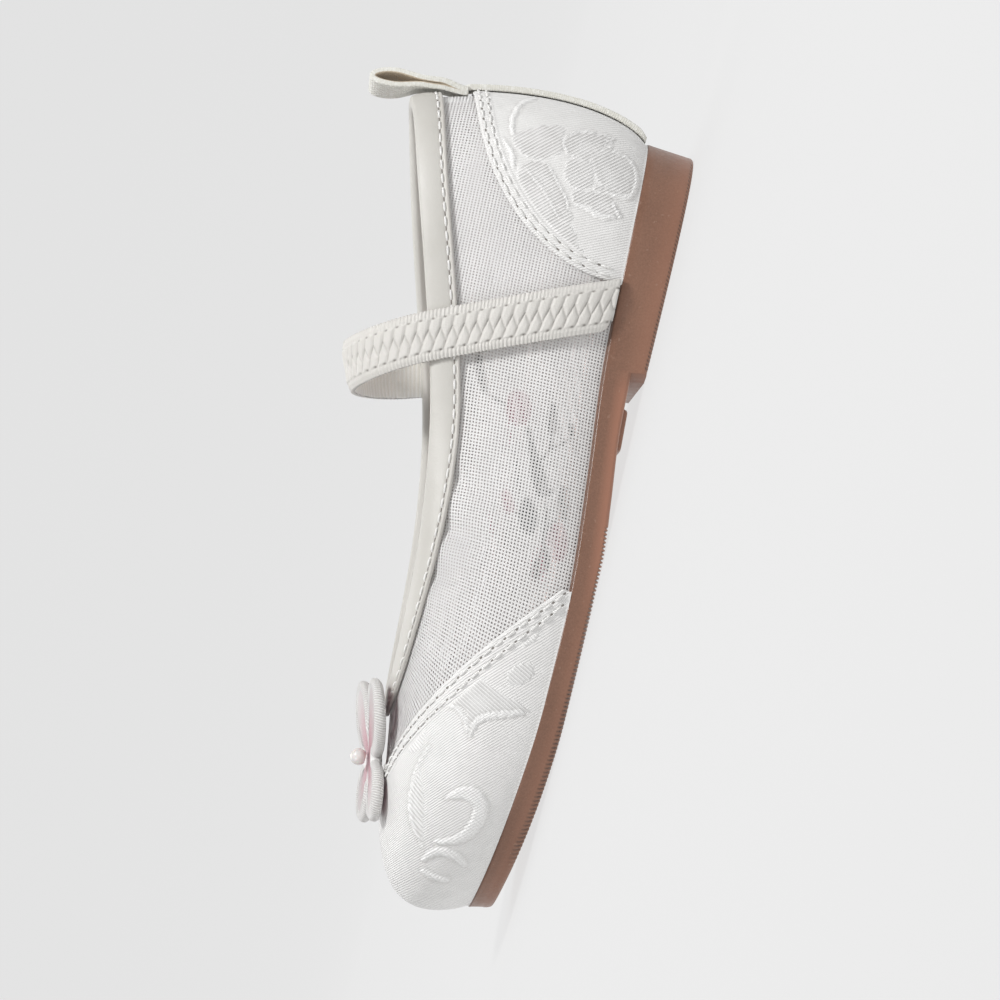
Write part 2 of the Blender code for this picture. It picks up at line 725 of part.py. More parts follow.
def strap_line(offset):
    """Inner face of the whole strap at an offset across it, from the outer to the inner side."""
    apex_x = STRAP_FOOT_X + 0.5 * STRAP_FOOT_SHIFT
    apex = np.array([apex_x, float(sole_top(apex_x))]) + STRAP_ACROSS_WAY * offset
    apex = apex + STRAP_WAY * STRAP_APEX_H / STRAP_WAY[1]
    apex = np.array([apex[0], 0.0, apex[1]])
    steps = np.linspace(0.0, 1.0, STRAP_ARCH_STEPS)[1:]
    halves = []
    for side in (1, -1):
        run = strap_run(side, offset)
        heading = (run[-1] - run[-2]) / np.linalg.norm(run[-1] - run[-2])
        controls = np.array([run[-1], run[-1] + heading * ARCH_START_PULL,
                             apex + (0.0, side * ARCH_TOP_PULL, 0.0), apex])
        arch = bezier(np.repeat(controls[None], len(steps), axis=0), steps)
        halves.append(np.vstack([run, arch]))
    return np.vstack([halves[0], halves[1][-2::-1]])


def make_strap(parent):
    offsets = np.linspace(-0.5, 0.5, STRAP_ACROSS) * STRAP_WIDTH
    middle = np.stack([strap_line(offset) for offset in offsets], axis=1)
    along = np.gradient(middle, axis=0)
    across = np.gradient(middle, axis=1)
    normal = np.cross(along, across)
    normal /= np.linalg.norm(normal, axis=2)[:, :, None]
    centre = middle.mean(axis=(0, 1))
    if ((middle - centre) * normal).sum() < 0.0:
        normal = -normal
    normal[[0, -1], :, 2] = 0.0
    points, faces = shell(middle + normal * STRAP_THICK, middle, False)
    return add_object("strap", points, faces, make_material("white_elastic"), parent)


# Butterfly and pearl

def lobe_reach(angle, centre, reach):
    """Reach of one round lobe of the butterfly's edge."""
    apart = np.abs((angle - centre + math.pi) % (2.0 * math.pi) - math.pi)
    turned = np.clip(apart / FLY_LOBE_SPREAD, 0.0, 1.0) * 0.5 * math.pi
    return reach * np.sqrt(np.clip(np.cos(turned), 0.0, 1.0))


def fly_radius(angle):
    """Reach of the butterfly's edge from its middle, angle 0 to the toe and turning to the outer side."""
    radius = np.full_like(angle, FLY_WAIST)
    for side in (1.0, -1.0):
        radius = np.maximum(radius, lobe_reach(angle, side * FLY_LOBE_ANGLE_FRONT, FLY_FRONT_REACH))
        radius = np.maximum(radius, lobe_reach(angle, math.pi - side * FLY_LOBE_ANGLE_REAR, FLY_REAR_REACH))
    return radius


def fly_rise(x, y):
    """Height of the butterfly's under side above its middle: pitched, rolled and raised to its edges."""
    ahead = x - FLY_CENTRE_X
    return (np.abs(ahead) * math.tan(FLY_BEND) - ahead * math.tan(FLY_PITCH)
            + np.abs(y) * math.tan(FLY_DIHEDRAL) - y * math.tan(FLY_ROLL))


def fly_seat(samples=40):
    """Height of the butterfly's under side at its middle, clear of the cap and the binding."""
    phi = np.linspace(TIP_PHI - FLY_SEAT_SPAN, TIP_PHI + FLY_SEAT_SPAN, samples)
    phi, share = np.meshgrid(phi, np.linspace(FLY_SEAT_FROM, 1.0, samples))
    under = wall(phi.ravel(), share.ravel(), 2.0 * GAP + OVERLAY_THICK)
    x, y, z = under.T
    covered = np.hypot(x - FLY_CENTRE_X, y) < fly_radius(np.arctan2(y, x - FLY_CENTRE_X))
    return float((z - fly_rise(x, y))[covered].max())


def fly_height(x, y):
    return fly_seat() + fly_rise(x, y)


def make_butterfly(parent):
    angle = np.arange(FLY_AROUND) / FLY_AROUND * 2.0 * math.pi
    reach = fly_radius(angle)
    shoulder = 1.0 - FLY_RIM_ROUND / FLY_REAR_REACH
    rings = (
        (FLY_INNER_RING, FLY_THICK),
        (shoulder, FLY_THICK),
        (1.0, FLY_THICK - FLY_RIM_ROUND),
        (1.0, FLY_RIM_ROUND),
        (shoulder, 0.0),
        (FLY_INNER_RING, 0.0),
    )
    points = []
    for scale, height in rings:
        x = FLY_CENTRE_X + np.cos(angle) * reach * scale
        y = np.sin(angle) * reach * scale
        points.append(np.column_stack([x, y, fly_height(x, y) + height]))
    seat = fly_seat()
    points.append(np.array([(FLY_CENTRE_X, 0.0, seat + FLY_THICK), (FLY_CENTRE_X, 0.0, seat)]))
    faces = grid_faces(len(rings), FLY_AROUND, 0, True)
    last = (len(rings) - 1) * FLY_AROUND
    middle = len(rings) * FLY_AROUND
    for place in range(FLY_AROUND):
        after = (place + 1) % FLY_AROUND
        faces.append((place, after, middle))
        faces.append((last + after, last + place, middle + 1))
    return add_object("butterfly", np.concatenate(points), faces, make_material("pink_thread"), parent)


def make_pearl(parent):
    """Bead with a small flat, glued to the middle of the butterfly."""
    clear = GAP + PEARL_FLAT * math.hypot(math.tan(FLY_PITCH), math.tan(FLY_ROLL))
    drop = math.sqrt(PEARL_RADIUS ** 2 - PEARL_FLAT ** 2)
    centre = np.array([FLY_CENTRE_X, 0.0, fly_seat() + FLY_THICK + clear + drop])
    tilts = np.linspace(-math.acos(PEARL_FLAT / PEARL_RADIUS), 0.5 * math.pi, PEARL_RINGS)[:-1]
    turn = np.arange(PEARL_AROUND) / PEARL_AROUND * 2.0 * math.pi
    points = []
    for tilt in tilts:
        flat = math.cos(tilt) * PEARL_RADIUS
        rise = np.full(PEARL_AROUND, math.sin(tilt) * PEARL_RADIUS)
        points.append(centre + np.column_stack([flat * np.cos(turn), flat * np.sin(turn), rise]))
    points.append(centre[None] + (0.0, 0.0, PEARL_RADIUS))
    faces = grid_faces(len(tilts), PEARL_AROUND, 0, True)
    faces.append(tuple(range(PEARL_AROUND)))
    start = (len(tilts) - 1) * PEARL_AROUND
    top = len(tilts) * PEARL_AROUND
    faces += [(start + i, start + (i + 1) % PEARL_AROUND, top) for i in range(PEARL_AROUND)]
    return add_object("pearl", np.concatenate(points), faces, make_material("pearl_white"), parent)


def seat_on_origin(holder):
    """Move the whole shoe so that its box stands centred on the origin."""
    bpy.context.view_layer.update()
    depsgraph = bpy.context.evaluated_depsgraph_get()
    corners = []
    for made in bpy.context.scene.objects:
        if made.type == "MESH" and not made.hide_render:
            mesh = made.evaluated_get(depsgraph).data
            corners += [made.matrix_world @ vertex.co for vertex in mesh.vertices]
    low = Vector([min(corner[axis] for corner in corners) for axis in range(3)])
    high = Vector([max(corner[axis] for corner in corners) for axis in range(3)])
    holder.location = (-0.5 * (low.x + high.x), -0.5 * (low.y + high.y), -low.z)


def main():
    for old in list(bpy.data.objects):
        bpy.data.objects.remove(old, do_unlink=True)
    holder = bpy.data.objects.new("shoe", None)
    bpy.context.scene.collection.objects.link(holder)
    make_outsole(holder)
    make_insole(holder)
    make_upper(holder)
    make_toe_cap(holder)
    make_heel_counter(holder)
    make_binding(holder)
    make_back_tape(holder)
    make_pull_loop(holder)
    make_strap(holder)
    make_butterfly(holder)
    make_pearl(holder)
    seat_on_origin(holder)


main()
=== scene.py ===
"""Looks of a child's mesh mary jane shoe for the left foot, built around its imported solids.

Every piece is worked out from the same wall and sole functions as the solids, in millimetres
with +X to the toe, +Y to the outer side and z = 0 on the floor, then moved into the frame.
"""

import math

import bmesh
import bpy
import numpy as np
from mathutils import Matrix, Vector


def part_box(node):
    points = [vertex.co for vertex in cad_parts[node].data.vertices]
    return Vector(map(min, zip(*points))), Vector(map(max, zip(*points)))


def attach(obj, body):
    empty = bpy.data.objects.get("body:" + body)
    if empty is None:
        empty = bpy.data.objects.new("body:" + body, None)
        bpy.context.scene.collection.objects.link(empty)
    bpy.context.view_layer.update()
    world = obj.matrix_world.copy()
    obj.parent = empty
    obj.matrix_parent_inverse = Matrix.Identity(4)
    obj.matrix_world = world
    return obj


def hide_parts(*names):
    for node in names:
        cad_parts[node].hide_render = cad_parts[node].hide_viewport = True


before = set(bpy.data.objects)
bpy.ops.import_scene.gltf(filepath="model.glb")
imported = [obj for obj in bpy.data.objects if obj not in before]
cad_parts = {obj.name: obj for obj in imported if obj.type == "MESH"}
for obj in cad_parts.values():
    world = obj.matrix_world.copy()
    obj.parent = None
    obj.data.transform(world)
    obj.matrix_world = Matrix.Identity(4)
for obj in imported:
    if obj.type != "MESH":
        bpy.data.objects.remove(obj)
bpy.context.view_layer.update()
MM = 0.001

# Sizes shared with the solids, in millimetres
SOLE_RIM = 1.2
SOLE_TOP = ((-8.0, 11.4), (0.0, 11.1), (26.0, 10.6), (53.0, 9.6), (80.0, 7.2), (105.0, 5.5),
            (130.0, 5.4), (152.0, 6.6), (176.0, 9.3), (184.0, 10.6))
SHANK_HEIGHT = ((53.0, 3.35), (68.0, 2.75), (84.0, 1.15), (98.0, 0.0), (134.0, 0.0),
                (148.0, 0.55), (162.0, 1.9), (176.0, 4.0))
HEEL_BLOCK_FRONT = 53.5
HEEL_STEP_SLANT = 0.5
EDGE_ROUND_HEEL = 0.9
EDGE_ROUND_TOE = 2.2
EDGE_ROUND_FROM = 100.0
EDGE_INSET = 1.1
WALL_TAPER = 0.7
TOP_BEVEL = 0.45
PAD_START = 61.0
PAD_LENGTH = 10.0
PAD_WIDTH = 30.0
PAD_MIDDLE_Y = 1.0
PAD_PROUD = 1.4
WALL = 1.2
GAP = 0.35
# One row for each section of the wall, from the heel round the outer side to the toe and back
WALL_COLUMNS = ("foot_x", "foot_y", "low_out", "low_up", "high_out", "high_drop", "top_x", "top_y", "top_h")
WALL_TABLE = (
    (1.2, 0.0, 7.7, 9.0, 7.5, 19.0, 3.0, 0.0, 53.0),
    (6.5, 14.3, 6.0, 10.0, 7.0, 19.0, 6.8, 9.6, 51.8),
    (24.0, 22.8, 3.6, 12.0, 5.2, 18.0, 23.0, 17.0, 47.3),
    (62.0, 24.4, 3.4, 12.0, 3.0, 13.0, 61.0, 20.0, 37.2),
    (106.0, 32.0, 3.6, 12.0, 11.0, 6.5, 103.0, 19.5, 33.0),
    (145.0, 29.3, 5.6, 16.0, 18.0, 5.2, 126.5, 12.5, 32.0),
    (166.5, 16.2, 9.6, 20.0, 24.0, 5.6, 132.0, 5.6, 31.8),
    (174.8, -2.0, 12.2, 21.0, 26.0, 6.0, 133.0, -0.6, 31.7),
    (169.0, -17.6, 9.8, 20.0, 24.0, 5.6, 132.0, -6.8, 31.8),
    (150.0, -28.0, 5.8, 16.5, 18.0, 5.2, 127.0, -13.0, 32.0),
    (118.0, -32.0, 3.6, 12.5, 11.0, 6.5, 107.0, -19.5, 32.8),
    (70.0, -22.6, 3.2, 12.0, 3.2, 13.0, 66.0, -19.5, 36.2),
    (24.0, -22.2, 3.6, 12.0, 5.2, 18.0, 23.0, -17.0, 47.3),
    (6.5, -14.0, 6.0, 10.0, 7.0, 19.0, 6.8, -9.6, 51.8),
)
BASE_SHARE = 0.10
INSOLE_THICK = 2.0
INSOLE_CLEAR = 0.5
OVERLAY_THICK = 0.7
END_SHARE = 0.05
CAP_SIDE_X = 105.5
CAP_CENTRE_SHARE = 0.68
CAP_POWER = 3.0
COUNTER_SIDE_X = 36.0
COUNTER_BACK_SHARE = 0.755
COUNTER_POWER = 3.1
COUNTER_ROOT = 0.5
BINDING_THICK = 0.7
BINDING_OUTSIDE = 6.2
BINDING_INSIDE = 5.0
TAPE_WIDTH = 6.0
TAPE_THICK = 1.4
TAPE_TOP_SHARE = 0.765
LOOP_WIDTH = 7.0
LOOP_TIP_H = 64.0
LOOP_LEAN = math.radians(13.0)
LOOP_FOOT = 1.45
LOOP_FOOT_PRESSED = 1.05
LOOP_TUCK = 1.45
LOOP_TUCK_TO = 0.3
LOOP_GAP = 1.9
LOOP_OPENS_AT = 0.46
LOOP_ROUND_FROM = 0.78
STRAP_WIDTH = 11.0
STRAP_THICK = 1.3
STRAP_LEAN = math.radians(23.0)
STRAP_FOOT_X = 40.5
STRAP_FOOT_SHIFT = 3.5
STRAP_APEX_H = 53.5
STRAP_LIFT = 1.5
STRAP_LEAVES_AT = 0.985
STRAP_WAY = np.array([math.sin(STRAP_LEAN), math.cos(STRAP_LEAN)])
STRAP_ACROSS_WAY = np.array([math.cos(STRAP_LEAN), -math.sin(STRAP_LEAN)])
ARCH_START_PULL = 9.0
ARCH_TOP_PULL = 13.0
FLY_CENTRE_X = 149.5
FLY_REAR_REACH = 21.0
FLY_FRONT_REACH = 17.2
FLY_LOBE_ANGLE_REAR = math.radians(43.0)
FLY_LOBE_ANGLE_FRONT = math.radians(47.0)
FLY_WAIST = 6.5
FLY_LOBE_SPREAD = math.radians(46.0)
FLY_THICK = 2.6
FLY_DIHEDRAL = math.radians(1.0)
FLY_ROLL = math.radians(5.5)
FLY_BEND = math.radians(3.5)
FLY_PITCH = math.radians(12.5)
FLY_SEAT_FROM = 0.3
FLY_SEAT_SPAN = 0.16
PEARL_RADIUS = 1.9
PEARL_FLAT = 1.1

# Curves and the wall of the upper

DIFFERENCE = 1e-3
SECTION_STEPS = 40


def smooth_step(value):
    """Ease from 0 to 1 as value goes from 0 to 1."""
    part = np.clip(value, 0.0, 1.0)
    return part * part * (3.0 - 2.0 * part)


def hill(distance, width):
    """Round hill of height 1 about distance 0."""
    return np.exp(-(distance / width) ** 2)


def unit(vectors):
    """Vectors of length 1 along the given ones."""
    return vectors / np.linalg.norm(vectors, axis=-1, keepdims=True)


def close_at_ends(count):
    """Shares from 0 to 1 that lie closer together at both ends."""
    return 0.5 * (1.0 - np.cos(np.linspace(0.0, math.pi, count)))


def full_turn(count):
    """Angles of evenly spaced places round a circle."""
    return np.arange(count) / count * 2.0 * math.pi


def running_length(points):
    """Distance along a line of points from its start."""
    legs = np.linalg.norm(np.diff(points, axis=0), axis=1)
    return np.concatenate([[0.0], np.cumsum(legs)])


def read_along(points, run, at):
    """Points at some distances along a line whose running length is run."""
    return np.stack([np.interp(at, run, points[:, axis]) for axis in range(3)], axis=1)


def along_segment(x, y, start, end):
    """Share of a straight segment at its spot nearest to each point, and the distance to that spot."""
    run = end[0] - start[0]
    rise = end[1] - start[1]
    t = np.clip(((x - start[0]) * run + (y - start[1]) * rise) / (run * run + rise * rise), 0.0, 1.0)
    return t, np.hypot(x - start[0] - t * run, y - start[1] - t * rise)


def spline_slopes(knots, heights):
    """Slopes of a smooth curve through a short table, with free ends."""
    steps = np.diff(knots)
    rises = np.diff(heights) / steps
    slopes = np.empty(len(knots))
    slopes[0] = rises[0]
    slopes[-1] = rises[-1]
    slopes[1:-1] = (rises[:-1] * steps[1:] + rises[1:] * steps[:-1]) / (steps[1:] + steps[:-1])
    slopes[1:-1][rises[:-1] * rises[1:] <= 0.0] = 0.0
    return slopes


def hermite(u, step, low, high, low_slope, high_slope):
    """Cubic from low to high with its slopes at both ends, at shares u of the step."""
    return ((1.0 + 2.0 * u) * (1.0 - u) ** 2 * low + u * (1.0 - u) ** 2 * step * low_slope
            + u * u * (3.0 - 2.0 * u) * high + u * u * (u - 1.0) * step * high_slope)


def table_curve(table, x):
    """Height at x on the smooth curve through a table of (x, height) rows."""
    knots, heights = np.array(table).T
    slopes = spline_slopes(knots, heights)
    x = np.clip(np.asarray(x, dtype=float), knots[0], knots[-1])
    index = np.clip(np.searchsorted(knots, x, side="right") - 1, 0, len(knots) - 2)
    step = knots[index + 1] - knots[index]
    u = (x - knots[index]) / step
    return hermite(u, step, heights[index], heights[index + 1], slopes[index], slopes[index + 1])


def sole_top(x):
    """Height of the sole's upper face above the floor."""
    return table_curve(SOLE_TOP, x)


class RingSpline:
    """Smooth closed curve through the rows of a table, by distance round the foot outline."""

    def __init__(self, rows):
        values = np.array(rows, dtype=float)
        closed = np.vstack([values, values[:1]])
        legs = np.hypot(np.diff(closed[:, 0]), np.diff(closed[:, 1]))
        self.knots = np.concatenate([[0.0], np.cumsum(legs)]) / legs.sum()
        self.values = closed
        self.slopes = self.solve_slopes(np.diff(self.knots), closed)

    @staticmethod
    def solve_slopes(steps, closed):
        """Slopes at the rows that let the curve bend evenly through each of them."""
        count = len(steps)
        matrix = np.zeros((count, count))
        right = np.zeros((count, closed.shape[1]))
        for row in range(count):
            before = steps[row - 1]
            after = steps[row]
            matrix[row, row - 1] += after
            matrix[row, row] += 2.0 * (before + after)
            matrix[row, (row + 1) % count] += before
            rise_before = (closed[row] - closed[row - 1 if row else count - 1]) / before
            rise_after = (closed[row + 1] - closed[row]) / after
            right[row] = 3.0 * (after * rise_before + before * rise_after)
        slopes = np.linalg.solve(matrix, right)
        return np.vstack([slopes, slopes[:1]])

    def at(self, phi):
        phi = np.mod(phi, 1.0)
        index = np.clip(np.searchsorted(self.knots, phi, side="right") - 1, 0, len(self.knots) - 2)
        step = (self.knots[index + 1] - self.knots[index])[:, None]
        u = (phi - self.knots[index])[:, None] / step
        return hermite(u, step, self.values[index], self.values[index + 1],
                       self.slopes[index], self.slopes[index + 1])


RING = RingSpline(WALL_TABLE)
COLUMN = {name: number for number, name in enumerate(WALL_COLUMNS)}
TIP_PHI = float(RING.knots[int(np.argmax([row[0] for row in WALL_TABLE]))])
PERIMETER = float(running_length(RING.at(np.linspace(0.0, 1.0, 400))[:, :2])[-1])


def plan_normal(phi):
    """Outward direction of the foot outline in plan."""
    along = unit(RING.at(phi + DIFFERENCE)[:, :2] - RING.at(phi - DIFFERENCE)[:, :2])
    return np.stack([-along[:, 1], along[:, 0]], axis=1)


def section_controls(phi):
    """Four control points of the wall's section at each place round the outline."""
    row = RING.at(phi)
    out = plan_normal(phi)
    foot = np.stack([row[:, COLUMN["foot_x"]], row[:, COLUMN["foot_y"]], np.zeros(len(phi))], axis=1)
    top = np.stack([row[:, COLUMN["top_x"]], row[:, COLUMN["top_y"]], row[:, COLUMN["top_h"]]], axis=1)
    low = foot.copy()
    low[:, :2] += out * row[:, COLUMN["low_out"], None]
    low[:, 2] += row[:, COLUMN["low_up"]]
    high = top.copy()
    high[:, :2] += out * row[:, COLUMN["high_out"], None]
    high[:, 2] -= row[:, COLUMN["high_drop"]]
    return np.stack([foot, low, high, top], axis=1)


def bezier(controls, t):
    """Points at t on cubic curves, each given by four control points."""
    t = t[..., None]
    return ((1 - t) ** 3 * controls[:, 0] + 3 * (1 - t) ** 2 * t * controls[:, 1]
            + 3 * (1 - t) * t * t * controls[:, 2] + t ** 3 * controls[:, 3])


class WallMap:
    """The upper's outside on a fine grid, read between the grid's lines.

    phi runs from 0 at the heel's back round the outer side to the toe and back to 1, and
    share from 0 at the feather line to 1 at the topline.
    """

    AROUND = 720
    UP = 140

    def __init__(self):
        phi = np.arange(self.AROUND) / self.AROUND
        share = np.linspace(0.0, 1.0, self.UP + 1)
        controls = section_controls(phi)
        steps = np.linspace(0.0, 1.0, SECTION_STEPS + 1)
        sections = np.stack([bezier(controls, np.full(len(phi), t)) for t in steps], axis=1)
        runs = [running_length(section) for section in sections]
        t = np.stack([np.interp(share * run[-1], run, steps) for run in runs], axis=1)
        self.points = bezier(controls, t)
        self.points[..., 2] += sole_top(self.points[..., 0]) + GAP
        self.lengths = np.array([run[-1] for run in runs])[None, :, None]
        self.ups = unit(np.gradient(self.points, axis=0))
        self.rounds = unit(np.roll(self.points, -1, axis=1) - np.roll(self.points, 1, axis=1))
        normals = unit(np.cross(self.ups, self.rounds))
        normals[..., 2] *= smooth_step(share / BASE_SHARE)[:, None]
        self.normals = unit(normals)

    def read(self, field, phi, share):
        """Values of a field on the grid, or on its one row, between the grid's lines."""
        column = np.mod(phi, 1.0) * self.AROUND
        left = np.floor(column).astype(int)
        beside = (column - left)[..., None]
        left = left % self.AROUND
        right = (left + 1) % self.AROUND
        row = np.clip(share, 0.0, 1.0) * (len(field) - 1)
        low = np.minimum(np.floor(row).astype(int), max(len(field) - 2, 0))
        high = np.minimum(low + 1, len(field) - 1)
        above = (row - low)[..., None]
        return ((field[low, left] * (1 - beside) + field[low, right] * beside) * (1 - above)
                + (field[high, left] * (1 - beside) + field[high, right] * beside) * above)

    def at(self, phi, share, lift=0.0):
        """Points that stand off the wall by lift, which is negative inside the shoe."""
        phi, share, lift = np.broadcast_arrays(np.asarray(phi, float), np.asarray(share, float), lift)
        return self.read(self.points, phi, share) + self.normal(phi, share) * lift[..., None]

    def normal(self, phi, share):
        return unit(self.read(self.normals, phi, share))

    def length(self, phi):
        """Length of the wall from the feather line to the topline."""
        phi = np.asarray(phi, float)
        return self.read(self.lengths, phi, np.zeros_like(phi))[..., 0]


WALLS = WallMap()


def collar(phi, drop, lift):
    """Points at a drop below the topline along the wall, or above it where drop is negative."""
    share = 1.0 - max(drop, 0.0) / WALLS.length(phi)
    up = unit(WALLS.read(WALLS.ups, phi, share))
    return WALLS.at(phi, share, lift) + up * max(-drop, 0.0)


def phi_at(x, side, samples=400):
    """Place round the outline where the foot line passes x, on the outer (1) or inner (-1) side."""
    span = np.linspace(0.0 if side > 0 else 1.0, TIP_PHI, samples)
    return np.interp(x, RING.at(span)[:, 0], span)


def cap_edge(across):
    """Share of the wall at the toe cap's free edge, at a place across the cap from -1 to 1."""
    return END_SHARE + (CAP_CENTRE_SHARE - END_SHARE) * (1.0 - np.abs(across) ** CAP_POWER)


def counter_edge(across):
    """Share of the wall at the heel counter's free edge, at a place across it from -1 to 1."""
    arch = (1.0 - np.abs(across) ** COUNTER_POWER) ** COUNTER_ROOT
    return END_SHARE + (COUNTER_BACK_SHARE - END_SHARE) * arch


CAP_SPAN = (phi_at(CAP_SIDE_X, 1), TIP_PHI, phi_at(CAP_SIDE_X, -1))
COUNTER_SPAN = (phi_at(COUNTER_SIDE_X, -1) - 1.0, 0.0, phi_at(COUNTER_SIDE_X, 1))


def across_span(phi, span):
    """Place across an overlay, -1 to 1 with 0 in its middle."""
    start, middle, end = span
    return np.where(phi < middle, (phi - middle) / (middle - start), (phi - middle) / (end - middle))


def edge_share(phi, span, edge):
    """Share of the wall at an overlay's free edge, at places round the outline."""
    return edge(np.clip(across_span(phi, span), -1.0, 1.0))


def covered_share(phi):
    """Share of the wall that the toe cap or the heel counter hides, counted from the feather line."""
    wrapped = np.where(phi > 0.5 * (1.0 + TIP_PHI), phi - 1.0, phi)
    cap = edge_share(phi, CAP_SPAN, cap_edge)
    hidden = np.maximum(cap, edge_share(wrapped, COUNTER_SPAN, counter_edge))
    return np.where(hidden <= END_SHARE + DIFFERENCE, 0.0, hidden)


# Soft creases left by flexing: side, x at the topline and at the foot, lowest share, depth, width
CREASES = (
    (1, 84.0, 95.0, 0.30, 0.55, 2.6),
    (1, 96.0, 104.0, 0.38, 0.75, 2.4),
    (1, 108.0, 108.0, 0.50, 0.5, 2.2),
    (1, 58.0, 64.0, 0.25, 0.35, 4.0),
    (-1, 88.0, 98.0, 0.30, 0.55, 2.6),
    (-1, 100.0, 110.0, 0.38, 0.7, 2.4),
    (-1, 60.0, 68.0, 0.25, 0.35, 4.0),
)
CREASE_FADE = 0.25
CREASE_RIDGE = 0.25


def crease_lift(points, share):
    """How far the mesh sinks in its creases, with a low ridge beside each."""
    lift = np.zeros(share.shape)
    for side, top_x, foot_x, from_share, depth, width in CREASES:
        line = foot_x + (top_x - foot_x) * share
        off = points[..., 0] - line
        reach = smooth_step((share - from_share) / CREASE_FADE) * (points[..., 1] * side > 0.0)
        lift += reach * depth * (CREASE_RIDGE * hill(off - 2.0 * width, width) - hill(off, width))
    return lift


# Meshes

def frame_shift():
    """Move from the working sizes to the frame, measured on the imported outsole."""
    low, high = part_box("outsole")
    outer, inner = outline_halves(SOLE_RIM)
    middle_y = 0.5 * (outer[:, 1].max() + inner[:, 1].min())
    return np.array([low[0] - outer[0, 0] * MM, 0.5 * (low[1] + high[1]) - middle_y * MM, 0.0])


def outline_halves(rim, samples=600):
    """Outer and inner halves of the foot outline moved out by rim, from heel to toe."""
    halves = []
    for start in (0.0, 1.0):
        phi = np.linspace(start, TIP_PHI, samples)
        halves.append(RING.at(phi)[:, :2] + plan_normal(phi) * rim)
    return halves


SHIFT = frame_shift()


def add_piece(name, points, faces, material, node=None, attributes=None, outward=False):
    """One piece from points in millimetres, riding on the shoe and standing for a node."""
    mesh = bpy.data.meshes.new(name)
    points = np.asarray(points, float).reshape(-1, 3) * MM + SHIFT
    if isinstance(faces, np.ndarray):
        mesh.vertices.add(len(points))
        mesh.vertices.foreach_set("co", points.ravel())
        mesh.loops.add(faces.size)
        mesh.loops.foreach_set("vertex_index", faces.ravel().astype(np.int32))
        mesh.polygons.add(len(faces))
        mesh.polygons.foreach_set("loop_start", np.arange(0, faces.size, faces.shape[1], dtype=np.int32))
        mesh.update(calc_edges=True)
    else:
        mesh.from_pydata(points.tolist(), [], faces)
    for key, values in (attributes or {}).items():
        values = np.asarray(values, float)
        kind = "FLOAT_VECTOR" if values.ndim > 1 and values.shape[-1] == 3 else "FLOAT"
        field = mesh.attributes.new(key, kind, "POINT")
        field.data.foreach_set("vector" if kind == "FLOAT_VECTOR" else "value", values.ravel())
    if outward:
        tidy = bmesh.new()
        tidy.from_mesh(mesh)
        bmesh.ops.recalc_face_normals(tidy, faces=tidy.faces)
        tidy.to_mesh(mesh)
        tidy.free()
    mesh.shade_smooth()
    mesh.materials.append(material)
    piece = bpy.data.objects.new(name, mesh)
    bpy.context.scene.collection.objects.link(piece)
    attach(piece, "root")
    if node:
        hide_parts(node)
    return piece


def grid_quads(rows, columns, ring_columns=False, ring_rows=False):
    """Quads of a grid of points, as an array, closed round its columns or rows if asked."""
    row = np.arange(rows if ring_rows else rows - 1)
    column = np.arange(columns if ring_columns else columns - 1)
    row, column = np.meshgrid(row, column, indexing="ij")
    below = ((row + 1) % rows) * columns
    after = (column + 1) % columns
    return np.stack([row * columns + column, below + column, below + after, row * columns + after],
                    axis=-1).reshape(-1, 4)


def capped_tube(rings):
    """Points and faces of a tube with closed ends, from its rings as (places, corners, 3)."""
    places, corners = rings.shape[:2]
    faces = grid_quads(places, corners, ring_columns=True).tolist()
    faces += [list(range(corners)), list(range((places - 1) * corners, places * corners))[::-1]]
    return rings.reshape(-1, 3), faces


# Materials

# How far light spreads inside the strap's lining, in metres
LINING_GLOW = 0.003


